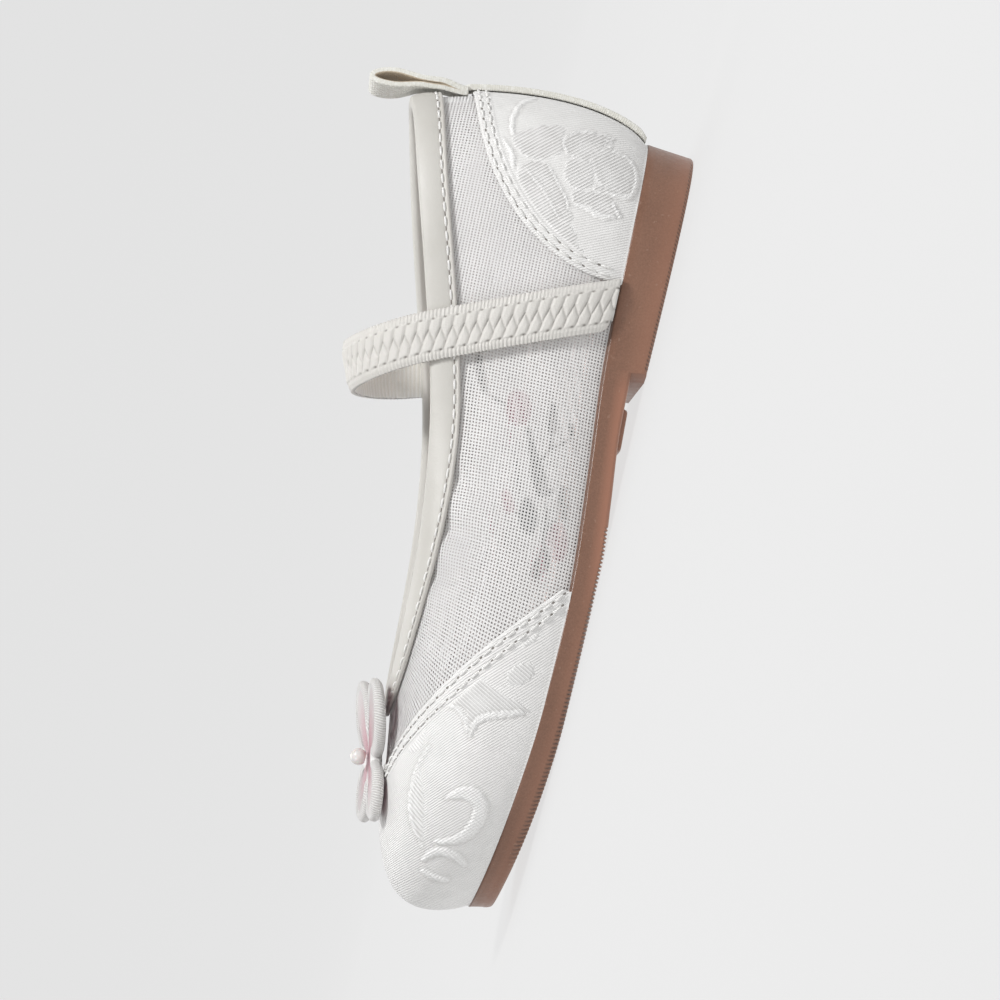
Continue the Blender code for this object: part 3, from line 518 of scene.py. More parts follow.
class Finish:
    """A material with a Principled shader and short ways to add nodes to it."""

    def __init__(self, name, colour, roughness, **inputs):
        self.material = bpy.data.materials.new(name)
        self.material.use_nodes = True
        self.tree = self.material.node_tree
        self.shader = self.tree.nodes["Principled BSDF"]
        self.use(Base_Color=(*colour, 1.0), Roughness=roughness, **inputs)

    def fill(self, node, inputs):
        """Set the inputs of a node, or link them to outputs of other nodes."""
        for key, value in inputs.items():
            if isinstance(value, bpy.types.NodeSocket):
                self.tree.links.new(value, node.inputs[key])
            else:
                node.inputs[key].default_value = value

    def use(self, **inputs):
        """Fill the shader's inputs, whose names have underscores for spaces."""
        self.fill(self.shader, {key.replace("_", " "): value for key, value in inputs.items()})
        return self.material

    def node(self, kind, inputs, **settings):
        made = self.tree.nodes.new("ShaderNode" + kind)
        for key, value in settings.items():
            setattr(made, key, value)
        self.fill(made, inputs)
        return made

    def math(self, operation, first, second):
        return self.node("Math", {0: first, 1: second}, operation=operation).outputs[0]

    def plus(self, first, second):
        return self.math("ADD", first, second)

    def times(self, first, second):
        return self.math("MULTIPLY", first, second)

    def place(self):
        return self.node("TexCoord", {}).outputs["Object"]

    def field(self, name):
        """Three numbers kept with each point."""
        vector = self.node("Attribute", {}, attribute_name=name).outputs["Vector"]
        return self.node("SeparateXYZ", {0: vector}).outputs

    def number(self, name):
        """One number kept with each point."""
        return self.node("Attribute", {}, attribute_name=name).outputs["Fac"]

    def wave(self, place, pitch):
        """Smooth ribs from 0 to 1, one for each pitch of a place in millimetres."""
        turn = self.times(place, 2.0 * math.pi / pitch)
        return self.plus(self.times(self.math("SINE", turn, 0.0), 0.5), 0.5)

    def ribs(self, weave, degrees, pitch):
        """Ribs of a cloth along a direction, from its two places in millimetres."""
        angle = math.radians(degrees)
        up = self.times(weave[1], math.cos(angle))
        return self.wave(self.math("SUBTRACT", up, self.times(weave[0], math.sin(angle))), pitch)

    def noise(self, scale, detail=3.0):
        inputs = {"Vector": self.place(), "Scale": scale, "Detail": detail, "Roughness": 0.55}
        return self.node("TexNoise", inputs).outputs["Fac"]

    def spread(self, value, low, high, to_low, to_high):
        """A number carried from one range to another and held at its ends."""
        return self.node("MapRange", {0: value, 1: low, 2: high, 3: to_low, 4: to_high}).outputs[0]

    def between(self, factor, first, second):
        """A number between two numbers."""
        return self.node("Mix", {0: factor, 2: first, 3: second}).outputs[0]

    def mix(self, factor, *colours):
        """A colour between two colours."""
        inputs = {0: factor}
        for key, colour in zip((6, 7), colours):
            inputs[key] = colour if isinstance(colour, bpy.types.NodeSocket) else (*colour, 1.0)
        return self.node("Mix", inputs, data_type="RGBA").outputs[2]

    def bump(self, *layers):
        """Bump layers of (height, depth in millimetres), one on the other."""
        inputs = {"Strength": 1.0}
        for height, depth in layers:
            inputs.update({"Height": height, "Distance": depth * MM})
            inputs["Normal"] = self.node("Bump", inputs).outputs[0]
        self.use(Normal=inputs["Normal"])


def rubber_finish():
    """Cloudy gum rubber with painted light where the edge number is high, and painted shade in the grooves
    and at the top bevel where it is below zero.
    """
    made = Finish("gum_rubber_looks", (0.25, 0.127, 0.085), 0.46, Coat_Weight=0.3, Coat_Roughness=0.24)
    cloud = made.noise(60.0)
    speck = made.noise(900.0, 2.0)
    grain = made.noise(2600.0, 2.0)
    edge = made.number("edge")
    tone = made.plus(made.spread(cloud, 0.3, 0.7, 0.0, 0.6), made.spread(grain, 0.3, 0.7, -0.1, 0.5))
    colour = made.mix(tone, (0.192, 0.090, 0.053), (0.274, 0.136, 0.084))
    # Painted light: a lighter orange band toward the sole's lower edge, strongest under the waist
    colour = made.mix(edge, colour, (0.37, 0.165, 0.100))
    # Painted shade: near-black in the grooves and darker at the top bevel under the upper
    colour = made.mix(made.spread(edge, 0.0, -0.9, 0.0, 0.8), colour, (0.035, 0.022, 0.020))
    colour = made.mix(made.spread(speck, 0.66, 0.74, 0.0, 0.22), colour, (0.48, 0.33, 0.25))
    made.bump((cloud, 0.12), (speck, 0.03), (grain, 0.02))
    return made.use(Base_Color=colour, Roughness=made.spread(speck, 0.3, 0.7, 0.40, 0.56))


def mesh_finish(name, colour):
    """Thin twisted yarns with the sprig's dark and pink print."""
    made = Finish(name, colour, 0.62, Sheen_Weight=0.15, Sheen_Roughness=0.4)
    weave = made.field("fabric")
    tone = made.spread(made.noise(120.0), 0.3, 0.7, 0.94, 1.0)
    inputs = {0: 1.0, 6: (*colour, 1.0), 7: tone}
    shade = made.node("Mix", inputs, data_type="RGBA", blend_type="MULTIPLY").outputs[2]
    shade = made.mix(made.spread(weave[2], 0.0, 1.0, 0.0, 0.95), shade, (0.085, 0.075, 0.072))
    shade = made.mix(made.spread(weave[2], 0.0, -1.0, 0.0, 0.95), shade, (0.40, 0.14, 0.19))
    made.bump((made.wave(made.plus(weave[0], weave[1]), 0.22), 0.03))
    return made.use(Base_Color=shade)


def jacquard_finish(name, ground_way, motif_way, motif_rib_shade):
    """Woven satin whose ground and motifs are ribbed along their own diagonals, with painted shade between
    the ribs and a painted shadow beside the raised stems.
    """
    made = Finish(name, (0.84, 0.83, 0.81), 0.5, Sheen_Weight=0.15, Sheen_Roughness=0.35)
    weave = made.field("fabric")
    motif = weave[2]
    satin = made.number("satin")
    floats = made.ribs(weave, motif_way, MOTIF_PITCH)
    height = made.between(motif, made.times(made.ribs(weave, ground_way, GROUND_PITCH), 0.6), floats)
    patchy = made.spread(made.noise(260.0), 0.35, 0.65, 0.45, 1.0)
    # Painted shade between the ribs, darker on the motifs and varying at random in patches
    dip = made.times(made.math("SUBTRACT", 1.0, height), made.between(motif, 0.2, motif_rib_shade))
    pale = made.mix(made.times(motif, 0.6), (0.90, 0.892, 0.878), (0.925, 0.918, 0.906))
    # Painted shade in the troughs of the satin threads' ribs
    thread = made.mix(made.times(floats, 0.7), (0.86, 0.852, 0.838), (0.985, 0.98, 0.972))
    colour = made.mix(made.times(dip, patchy), pale, (0.36, 0.345, 0.33))
    colour = made.mix(made.spread(satin, 0.0, 1.0, 0.0, 1.0), colour, thread)
    # Painted shadow beside the raised stems, where satin is below zero
    colour = made.mix(made.spread(satin, 0.0, -1.0, 0.0, 0.2), colour, (0.44, 0.42, 0.40))
    made.bump((height, 0.16))
    return made.use(Base_Color=colour, Roughness=made.spread(motif, 0.0, 1.0, 0.55, 0.42))


def binding_finish():
    """Smooth synthetic leather with a fine grain."""
    made = Finish("white_binding_looks", (0.76, 0.75, 0.70), 0.46, Coat_Weight=0.08, Coat_Roughness=0.4)
    grain = made.node("TexVoronoi", {"Vector": made.place(), "Scale": 1900.0}).outputs["Distance"]
    tone = made.spread(made.noise(70.0), 0.3, 0.7, 0.0, 1.0)
    colour = made.mix(tone, (0.562, 0.545, 0.506), (0.606, 0.589, 0.553))
    made.bump((made.noise(260.0), 0.10), (grain, 0.025))
    return made.use(Base_Color=colour, Roughness=made.spread(grain, 0.0, 0.6, 0.38, 0.54))


def elastic_finish():
    """Smocked white face with painted shade in its folds and needle holes, over a beige lining that lets
    light through.
    """
    made = Finish("white_elastic_looks", (0.80, 0.79, 0.74), 0.55, Sheen_Weight=0.25, Sheen_Roughness=0.4,
                  Subsurface_Scale=LINING_GLOW, Subsurface_Radius=(1.0, 1.0, 1.0))
    weave = made.field("fabric")
    inside = weave[2]
    ribs = made.wave(weave[0], 1.0)
    threads = made.plus(made.wave(weave[0], 0.34), made.wave(weave[1], 0.34))
    # Painted shade in the folds and needle holes of the smocked face
    face = made.mix(made.number("painted_fold_shade"), (0.69, 0.67, 0.635), (0.19, 0.17, 0.15))
    back = made.mix(ribs, (0.88, 0.83, 0.76), (0.96, 0.92, 0.86))
    made.bump((threads, 0.02), (made.times(ribs, inside), 0.1))
    return made.use(Base_Color=made.mix(inside, face, back), Subsurface_Weight=inside)


def tape_finish():
    """Nubbly woven tape, with brown painted shade on the loop's inside."""
    made = Finish("cream_tape_looks", (0.72, 0.70, 0.615), 0.62, Sheen_Weight=0.3, Sheen_Roughness=0.35)
    weave = made.field("fabric")
    height = made.times(made.ribs(weave, 45.0, 0.7), made.ribs(weave, -45.0, 0.7))
    # Painted glints: fine random light specks on the yarn
    sparkle = made.spread(made.noise(1300.0, 1.0), 0.45, 0.7, 0.0, 0.6)
    tone = made.plus(made.times(height, 0.6), sparkle)
    colour = made.mix(tone, (0.74, 0.727, 0.662), (0.90, 0.895, 0.86))
    made.bump((height, 0.12))
    # Painted shade: brown on the loop's inside, where the slit lies in shade
    return made.use(Base_Color=made.mix(made.times(weave[2], 0.85), colour, (0.47, 0.37, 0.25)))


def butterfly_finish():
    """Pink satin stitch inside a rim wrapped in white thread."""
    made = Finish("pink_thread_looks", (0.77, 0.46, 0.51), 0.5, Sheen_Weight=0.35, Sheen_Roughness=0.35)
    threads = made.field("stitching")
    rim = threads[1]
    ribs = made.wave(threads[0], 0.60)
    floats = made.wave(threads[2], 0.36)
    pink = made.mix(floats, (0.52, 0.22, 0.27), (0.76, 0.44, 0.49))
    white = made.mix(ribs, (0.63, 0.605, 0.59), (0.83, 0.82, 0.805))
    made.bump((made.between(rim, floats, ribs), 0.14))
    return made.use(Base_Color=made.mix(rim, pink, white))


def pearl_finish():
    made = Finish("pearl_white_looks", (0.82, 0.77, 0.71), 0.18, Coat_Weight=0.8, Coat_Roughness=0.06,
                  Subsurface_Weight=0.1)
    # Painted reflection: the pearl darkens toward its rim as its face turns from the view
    painted_rim_reflection = made.node("LayerWeight", {"Blend": 0.35}).outputs["Facing"]
    tone = made.mix(made.noise(300.0), (0.80, 0.765, 0.72), (0.86, 0.835, 0.80))
    return made.use(Base_Color=made.mix(painted_rim_reflection, tone, (0.62, 0.555, 0.53)))


def insole_finish():
    made = Finish("insole_cloth_looks", (0.74, 0.60, 0.56), 0.8)
    weave = made.field("fabric")
    cloth = made.plus(made.wave(weave[0], 0.7), made.wave(weave[1], 0.7))
    made.bump((cloth, 0.06))
    tone = made.spread(cloth, 0.0, 2.0, 0.0, 1.0)
    return made.use(Base_Color=made.mix(tone, (0.60, 0.47, 0.44), (0.74, 0.62, 0.585)))


def thread_finish():
    made = Finish("sewing_thread_looks", (0.86, 0.85, 0.83), 0.5)
    made.bump((made.noise(2500.0), 0.05))
    return made.use(Base_Color=made.mix(made.noise(500.0), (0.80, 0.79, 0.77), (0.88, 0.875, 0.86)))


def hole_finish():
    # Painted shade of the needle holes
    made = Finish("stitch_hole_looks", (0.22, 0.20, 0.18), 0.9)
    return made.use(Base_Color=made.mix(made.noise(900.0), (0.17, 0.15, 0.135), (0.30, 0.28, 0.26)))


# Stitches

STITCH_PITCH = 3.3
STITCH_LENGTH = 2.55
STITCH_RADIUS = 0.27
STITCH_SINK = 0.12
STITCH_RINGS = 7
STITCH_SIDES = 6
HOLE_HALF = (0.40, 0.24)
HOLE_LIFT = 0.05
HOLE_REACH = 0.2
HOLE_SIDES = 8


class Sewing:
    """Collects the stitches and needle holes of every seam as two joined meshes."""

    def __init__(self):
        self.threads = []
        self.holes = []

    def row(self, points, normals, hole=HOLE_HALF):
        """Stitches along a line of points on a surface, with holes of half sizes (along, across)."""
        run = running_length(points)
        count = int(run[-1] / STITCH_PITCH)
        middles = (np.arange(count) + 0.5) * run[-1] / count
        for middle in middles:
            at = np.clip(middle + np.linspace(-0.5, 0.5, STITCH_RINGS) * STITCH_LENGTH, 0.0, run[-1])
            self.stitch(read_along(points, run, at), unit(read_along(normals, run, at)))
        for middle in middles - 0.5 * run[-1] / count:
            at = np.clip(middle + np.linspace(-HOLE_REACH, HOLE_REACH, 3), 0.0, run[-1])
            line = read_along(points, run, at)
            self.hole(line[1], unit(line[2] - line[0]), unit(read_along(normals, run, at)[1]), hole)

    def stitch(self, line, normals):
        """A short thread that dips into the cloth at both ends."""
        sides = np.cross(unit(np.gradient(line, axis=0)), normals)
        t = np.linspace(-1.0, 1.0, STITCH_RINGS)
        rise = STITCH_RADIUS * (1.0 - 1.9 * t ** 4)
        thin = STITCH_RADIUS * np.sqrt(np.clip(1.0 - 0.8 * t ** 6, 0.05, 1.0))
        turn = full_turn(STITCH_SIDES)[:, None]
        ring = sides[:, None] * np.cos(turn) + normals[:, None] * np.sin(turn)
        self.threads.append((line + normals * rise[:, None])[:, None] + ring * thin[:, None, None])

    def hole(self, centre, along, normal, half):
        """A small dark disc just above the cloth: painted shade of a needle hole."""
        turn = full_turn(HOLE_SIDES)[:, None]
        side = np.cross(along, normal)
        disc = along * half[0] * np.cos(turn) + side * half[1] * np.sin(turn)
        self.holes.append(centre + normal * HOLE_LIFT + disc)

    def build(self):
        first = np.arange(len(self.threads))[:, None, None] * STITCH_RINGS * STITCH_SIDES
        quads = (grid_quads(STITCH_RINGS, STITCH_SIDES, ring_columns=True) + first).reshape(-1, 4)
        add_piece("stitches", np.concatenate(self.threads), quads, thread_finish())
        discs = np.arange(len(self.holes) * HOLE_SIDES).reshape(-1, HOLE_SIDES)
        add_piece("stitch_holes", np.concatenate(self.holes), discs, hole_finish())


SEWING = Sewing()

# Sole

RIB_PITCH = 0.93
RIB_DEPTH = 0.70
RIB_WIDTH = 0.23
RIB_STEPS = 5
# Ribbed stretches of the tread: start, end and how long the ribs take to fade out
RIBBED = ((1.5, 53.0, 1.0), (89.0, 168.0, 6.0))
END_STATIONS = 160
WAIST_STATIONS = 70
WAIST_END = 112.0
# How much painted light the lower edge gets on the heel block, on the forefoot and on the tread, where the
# waist gets 1
BLOCK_PAINTED_LIGHT = 0.45
TOE_PAINTED_LIGHT = 0.3
TREAD_PAINTED_LIGHT = 0.35
SIDE_LEVELS = (0.25, 0.5, 0.75, 0.9)
EDGE_LEVELS = 6
# Painted shade in the tread's grooves
GROOVE_PAINTED_SHADE = 0.9
# Painted light on the shank pad
PAD_PAINTED_LIGHT = 0.5
PAD_ROUND = 0.5
INSOLE_ROUND = 0.6


def sole_stations():
    """Places along the sole: close at the round ends, at every rib and on both sides of the step."""
    first, last = outline_halves(SOLE_RIM)[0][[0, -1], 0]
    (heel_start, heel_end, _), (toe_start, toe_end, _) = RIBBED
    ends = close_at_ends(END_STATIONS) * (last - first) + first
    ribs = [np.arange(start, end, RIB_PITCH / RIB_STEPS) for start, end, _ in RIBBED]
    waist = np.linspace(heel_end + 0.2, toe_start, WAIST_STATIONS)[1:]
    x = np.concatenate([ends[(ends < heel_start) | (ends > toe_end)], *ribs, waist])
    x = x[np.abs(x - HEEL_BLOCK_FRONT) > 2.0 * HEEL_STEP_SLANT]
    x = np.sort(np.concatenate([x, [HEEL_BLOCK_FRONT, HEEL_BLOCK_FRONT + HEEL_STEP_SLANT]]))
    return (x - first) / (last - first), x


def rib_cut(x):
    """Depth of the fine grooves across the tread at x."""
    cut = np.zeros_like(x)
    for start, end, fade in RIBBED:
        phase = np.mod((x - start) / RIB_PITCH, 1.0) - 0.5
        shown = smooth_step((end - x) / fade) * smooth_step(x - start)
        cut += shown * RIB_DEPTH * hill(phase, RIB_WIDTH)
    return cut


def outline_at(rim, stations):
    """Outer and inner outline points at shares 0 to 1 of the outline's length along X."""
    result = []
    for half in outline_halves(rim):
        x = half[0, 0] + stations * (half[-1, 0] - half[0, 0])
        result.append(np.stack([x, np.interp(x, half[:, 0], half[:, 1])], axis=1))
    return result


def stack_between_outlines(levels):
    """Closed body between a heel pole and a toe pole from levels of (outer, inner) points."""
    count = len(levels[0][0])
    size = 2 * count - 2
    points = np.concatenate([np.concatenate([outer, inner[1:-1][::-1]]) for outer, inner in levels])
    faces = grid_quads(len(levels), size, ring_columns=True).tolist()
    for start in (0, (len(levels) - 1) * size):
        ring = list(range(start, start + size))
        inner_side = [ring[0]] + ring[:count - 1:-1] + [ring[count - 1]]
        for place in range(count - 1):
            corners = (ring[place], ring[place + 1], inner_side[place + 1], inner_side[place])
            faces.append(list(dict.fromkeys(corners)))
    return points, faces


def make_outsole():
    """Sole from its upper face over the sides to the ribbed tread, with the pad under its waist."""
    stations, x = sole_stations()
    on_block = x <= HEEL_BLOCK_FRONT + DIFFERENCE
    forward = smooth_step((x - EDGE_ROUND_FROM) / (x[-1] - EDGE_ROUND_FROM))
    edge = EDGE_ROUND_HEEL + (EDGE_ROUND_TOE - EDGE_ROUND_HEEL) * forward
    top = sole_top(x)
    bottom = np.where(on_block, 0.0, table_curve(SHANK_HEIGHT, x))
    cut = rib_cut(x)
    waist = smooth_step((x - HEEL_BLOCK_FRONT) / 6.0) * smooth_step((WAIST_END - x) / 20.0)
    # Painted light toward the lower edge, strongest under the waist
    shine = np.where(on_block, BLOCK_PAINTED_LIGHT, TOE_PAINTED_LIGHT + (1.0 - TOE_PAINTED_LIGHT) * waist)
    # Rows from the upper face down to the tread: inset, height, share of the grooves and painted light,
    # which is painted shade below zero at the top bevel
    rows = [
        (SOLE_RIM + 1.0, top + 0.33, 0.0, -0.3),
        (SOLE_RIM - 0.1, top + 0.3, 0.0, -0.3),
        (TOP_BEVEL, top, 0.0, -0.5),
        (0.3 * TOP_BEVEL, top - 0.12, 0.0, -0.4),
        (0.0, top - TOP_BEVEL, 0.0, -0.1),
    ]
    for part in SIDE_LEVELS:
        painted_light_and_shade = shine * smooth_step((part - 0.4) / 0.6)
        rows.append((part * WALL_TAPER, top + (bottom + edge - top) * part, 0.0, painted_light_and_shade))
    for turn in 0.5 * math.pi * np.arange(EDGE_LEVELS + 1) / EDGE_LEVELS:
        inset = WALL_TAPER + EDGE_INSET * (1.0 - math.cos(turn))
        low = math.sin(turn)
        rows.append((inset, bottom + edge * (1.0 - low) + cut * low, low, shine))
    rows.append((WALL_TAPER + EDGE_INSET + 3.0, bottom + cut, 1.0, TREAD_PAINTED_LIGHT))
    levels = []
    painted_light_and_shade_rows = []
    for inset, height, low, painted_light_and_shade in rows:
        levels.append([np.column_stack([side, height]) for side in outline_at(SOLE_RIM - inset, stations)])
        # Painted shade in the grooves, deepest in the lower rows
        tone = painted_light_and_shade - math.sqrt(low) * (painted_light_and_shade + GROOVE_PAINTED_SHADE) * cut / RIB_DEPTH
        painted_light_and_shade_rows.append(np.concatenate([tone, tone[1:-1][::-1]]))
    points, faces = stack_between_outlines(levels)
    pad_points, pad_faces = shank_pad()
    faces += [[corner + len(points) for corner in face] for face in pad_faces]
    painted_light_and_shade = np.concatenate([*painted_light_and_shade_rows, np.full(len(pad_points), PAD_PAINTED_LIGHT)])
    piece = add_piece("outsole_looks", np.concatenate([points, pad_points]), faces, rubber_finish(),
                      "outsole", {"edge": painted_light_and_shade}, outward=True)
    piece.data.set_sharp_from_angle(angle=math.radians(50.0))


def shank_pad(sides=72):
    """Low pad under the waist with rounded edges, carried by the shank's curve."""
    levels = ((-0.2, 0.0), (PAD_ROUND, 0.0), (PAD_PROUD - 0.5 * PAD_ROUND, 0.3 * PAD_ROUND),
              (PAD_PROUD, PAD_ROUND))
    turn = full_turn(sides)
    ahead = np.sign(np.cos(turn)) * np.abs(np.cos(turn)) ** 0.25
    aside = np.sign(np.sin(turn)) * np.abs(np.sin(turn)) ** 0.18
    rings = []
    for proud, inset in levels:
        x = PAD_START + 0.5 * PAD_LENGTH + ahead * (0.5 * PAD_LENGTH - inset)
        y = PAD_MIDDLE_Y + aside * (0.5 * PAD_WIDTH - inset)
        rings.append(np.column_stack([x, y, table_curve(SHANK_HEIGHT, x) - proud]))
    return capped_tube(np.stack(rings))


def make_insole(stations=90):
    """Flat sock on the sole, rounded at its upper edge."""
    # Rows from the upper face to the lower edge: inset and height over the sole
    rows = (
        (INSOLE_ROUND + 6.0, INSOLE_THICK - 0.25),
        (INSOLE_ROUND + 2.0, INSOLE_THICK - 0.1),
        (INSOLE_ROUND, INSOLE_THICK),
        (0.3 * INSOLE_ROUND, INSOLE_THICK - 0.3 * INSOLE_ROUND),
        (0.0, INSOLE_THICK - INSOLE_ROUND),
        (0.0, 0.0),
    )
    levels = []
    for inset, rise in rows:
        pair = outline_at(-WALL - INSOLE_CLEAR - inset, close_at_ends(stations))
        levels.append([np.column_stack([side, sole_top(side[:, 0]) + GAP + rise]) for side in pair])
    points, faces = stack_between_outlines(levels)
    add_piece("insole_looks", points, faces, insole_finish(), "insole",
              {"fabric": points * (1.0, 1.0, 0.0)}, outward=True)


# Mesh of the upper

OUTER_PITCH = 0.74
INNER_PITCH = 0.82
OUTER_SHARE = 0.50
INNER_SHARE = 0.46
INNER_LEAN = 0.00075
COLUMN_SAMPLES = 1441
COLUMN_BLUR = 60
MESH_FOOT = 0.15
UNDER_BINDING = 3.5
UNDER_OVERLAY = 3.0
# Share of the lining's print painted onto the thin yarns of the outer mesh, standing in for light that
# comes through them from the print
PRINT_THROUGH = 0.16
# Sprig printed on the lining: strokes of x, height over the sole and half width, in mm
PRINT_DARK = {
    "collar_twig": ((58.6, 27.6, 0.8), (62.4, 26.4, 1.2), (66.4, 24.6, 0.7)),
    "twig": ((65.6, 9.7, 0.7), (69.0, 9.4, 1.1), (72.2, 8.9, 0.8)),
    "bud": ((69.2, 5.0, 0.8), (70.8, 4.6, 0.8)),
    "branch": ((71.9, 14.5, 0.5), (77.0, 12.6, 1.0), (82.0, 10.6, 1.7), (85.8, 9.2, 1.3)),
    "branch_leaf": ((84.0, 7.0, 0.5), (85.6, 8.4, 0.9)),
    "flower": ((88.2, 12.4, 1.1), (91.0, 11.6, 2.3), (94.4, 11.0, 1.2)),
    "leaf": ((83.4, 4.6, 1.0), (86.4, 4.4, 1.7), (90.0, 4.2, 1.1)),
    "root": ((97.6, 6.4, 1.2), (101.0, 7.0, 1.7), (104.0, 8.4, 1.1)),
    "stalk": ((98.0, 7.4, 0.35), (92.0, 7.4, 0.4), (85.6, 8.8, 0.4)),
    "leaf_stalk": ((93.0, 7.4, 0.35), (90.8, 5.8, 0.35), (89.6, 4.6, 0.35)),
    "twig_stalk": ((79.4, 11.6, 0.35), (76.0, 9.4, 0.35), (72.0, 8.9, 0.4)),
    "bud_stalk": ((75.0, 9.2, 0.3), (73.0, 6.0, 0.35), (70.8, 4.7, 0.4)),
    "petal_stalk": ((91.2, 13.2, 0.35), (90.8, 15.4, 0.35)),
    "blossom_stalk": ((66.4, 24.4, 0.35), (67.2, 22.0, 0.35), (67.8, 19.6, 0.35)),
}
PRINT_PINK = {
    "blossom": ((66.4, 17.4, 2.5), (68.0, 17.2, 2.9), (69.6, 17.0, 2.5)),
    "petal": ((87.6, 17.2, 1.2), (90.8, 15.8, 1.5)),
    "hip": ((92.6, 4.8, 1.9), (95.4, 4.4, 2.5), (98.4, 3.8, 1.6)),
}


def print_tone(points):
    """Tone of the printed sprig: above zero dark, below zero pink, the same on both sides of the shoe."""
    x = points[..., 0]
    over_sole = points[..., 2] - sole_top(x) - GAP
    tone = np.zeros(x.shape)
    for strokes, sign in ((PRINT_DARK, 1.0), (PRINT_PINK, -1.0)):
        for rows in strokes.values():
            tone = tone + sign * smooth_step((stem_depth(x, over_sole, rows) + 0.2) / 0.5)
    return np.clip(tone, -1.0, 1.0)


def mesh_columns(pitch):
    """Places round the outline one pitch apart, measured where the mesh shows."""
    phi = np.linspace(0.0, 1.0, COLUMN_SAMPLES)
    shown = 0.5 * (covered_share(phi) + 1.0)
    ring = np.concatenate([shown[-COLUMN_BLUR - 1:-1], shown, shown[1:COLUMN_BLUR + 1]])
    window = 2 * COLUMN_BLUR + 1
    smooth = np.convolve(ring, np.ones(window) / window, "valid")
    run = running_length(WALLS.at(phi, smooth))
    count = int(round(run[-1] / pitch))
    return np.interp(np.arange(count) / count * run[-1], run, phi)


def make_mesh(name, pitch, thread_share, lift, lean, hidden, colour, print_share, node=None):
    """Net of threads on the wall: rows lie along the feather line and columns run up the wall."""
    columns = mesh_columns(pitch)
    step = np.diff(np.append(columns, columns[0] + 1.0))
    rows = np.arange(MESH_FOOT, WALLS.lengths.max(), pitch)
    thread = np.array([-0.5, 0.5]) * thread_share
    distance = (rows[:, None] + thread * pitch).ravel()
    phi = (columns[:, None] + thread * step[:, None]).ravel()
    distance, phi = np.meshgrid(distance, phi, indexing="ij")
    phi = phi + lean * distance
    share = distance / WALLS.length(phi)
    flat = WALLS.at(phi, share)
    points = WALLS.at(phi, share, lift + crease_lift(flat, share))
    knots = (len(rows), 2, len(columns), 2)
    centre = share.reshape(knots).mean(axis=(1, 3))
    middle = phi.reshape(knots).mean(axis=(1, 3))
    keep = (centre < 1.0 - UNDER_BINDING / WALLS.length(middle)) & (centre > hidden(middle))
    index = np.arange(share.size).reshape(knots)
    low, high = index[:, 0], index[:, 1]
    knot = (low[..., 0], high[..., 0], high[..., 1], low[..., 1])
    along = (low[..., 1], high[..., 1], np.roll(high[..., 0], -1, axis=1), np.roll(low[..., 0], -1, axis=1))
    upward = (high[:-1, :, 0], low[1:, :, 0], low[1:, :, 1], high[:-1, :, 1])
    shown = (keep, keep & np.roll(keep, -1, axis=1), keep[:-1] & keep[1:])
    quads = [np.stack(corners, axis=-1)[kept] for corners, kept in zip((knot, along, upward), shown)]
    used, quads = np.unique(np.concatenate(quads), return_inverse=True)
    fabric = np.stack([phi * PERIMETER, distance, print_share * print_tone(flat)], axis=-1)
    add_piece(name, points.reshape(-1, 3)[used], quads.reshape(-1, 4), mesh_finish("white_" + name, colour),
              node, {"fabric": fabric.reshape(-1, 3)[used]})


def under_overlays(phi):
    """Share of the wall below which the overlays hide the outer mesh."""
    return covered_share(phi) - UNDER_OVERLAY / WALLS.length(phi)


def make_upper():
    """Outer mesh with a lining of wider mesh behind it."""
    make_mesh("mesh_outside", OUTER_PITCH, OUTER_SHARE, 0.0, 0.0, under_overlays, (0.89, 0.88, 0.87),
              PRINT_THROUGH, "upper")
    # The lining's darker tone than the outer mesh is partly painted shade of the shoe's inside
    make_mesh("mesh_lining", INNER_PITCH, INNER_SHARE, -WALL, INNER_LEAN, np.zeros_like, (0.74, 0.70, 0.69),
              1.0)


# Jacquard overlays with raised embroidery

OVERLAY_PITCH = 0.27
GROUND_PITCH = 0.55
MOTIF_PITCH = 0.68
OVERLAY_SPREAD = 0.86
RELIEF = 0.12
SATIN_RELIEF = 0.24
RAGGED = 0.22
STEM_RAGGED = 0.6
# Widths over which leaves, their weave, stems and their satin rise at the edge
LEAF_FADE = 0.4
WEAVE_FADE = 0.25
STEM_FADE = 0.5
SATIN_FADE = 0.35
LEAF_OUTLINE = 0.45
SKIRT_DROP = 0.55
HEM_WIDTH = 3.9
HEM_RISE = 0.18
HEM_ROWS = (1.15, 2.85)
HEM_GROOVE = 0.14
HEM_GROOVE_WIDTH = 0.35
HEM_TUCK = 2.0
# Share of the wall below which the hems are not sewn
HEM_LOWEST = 0.02
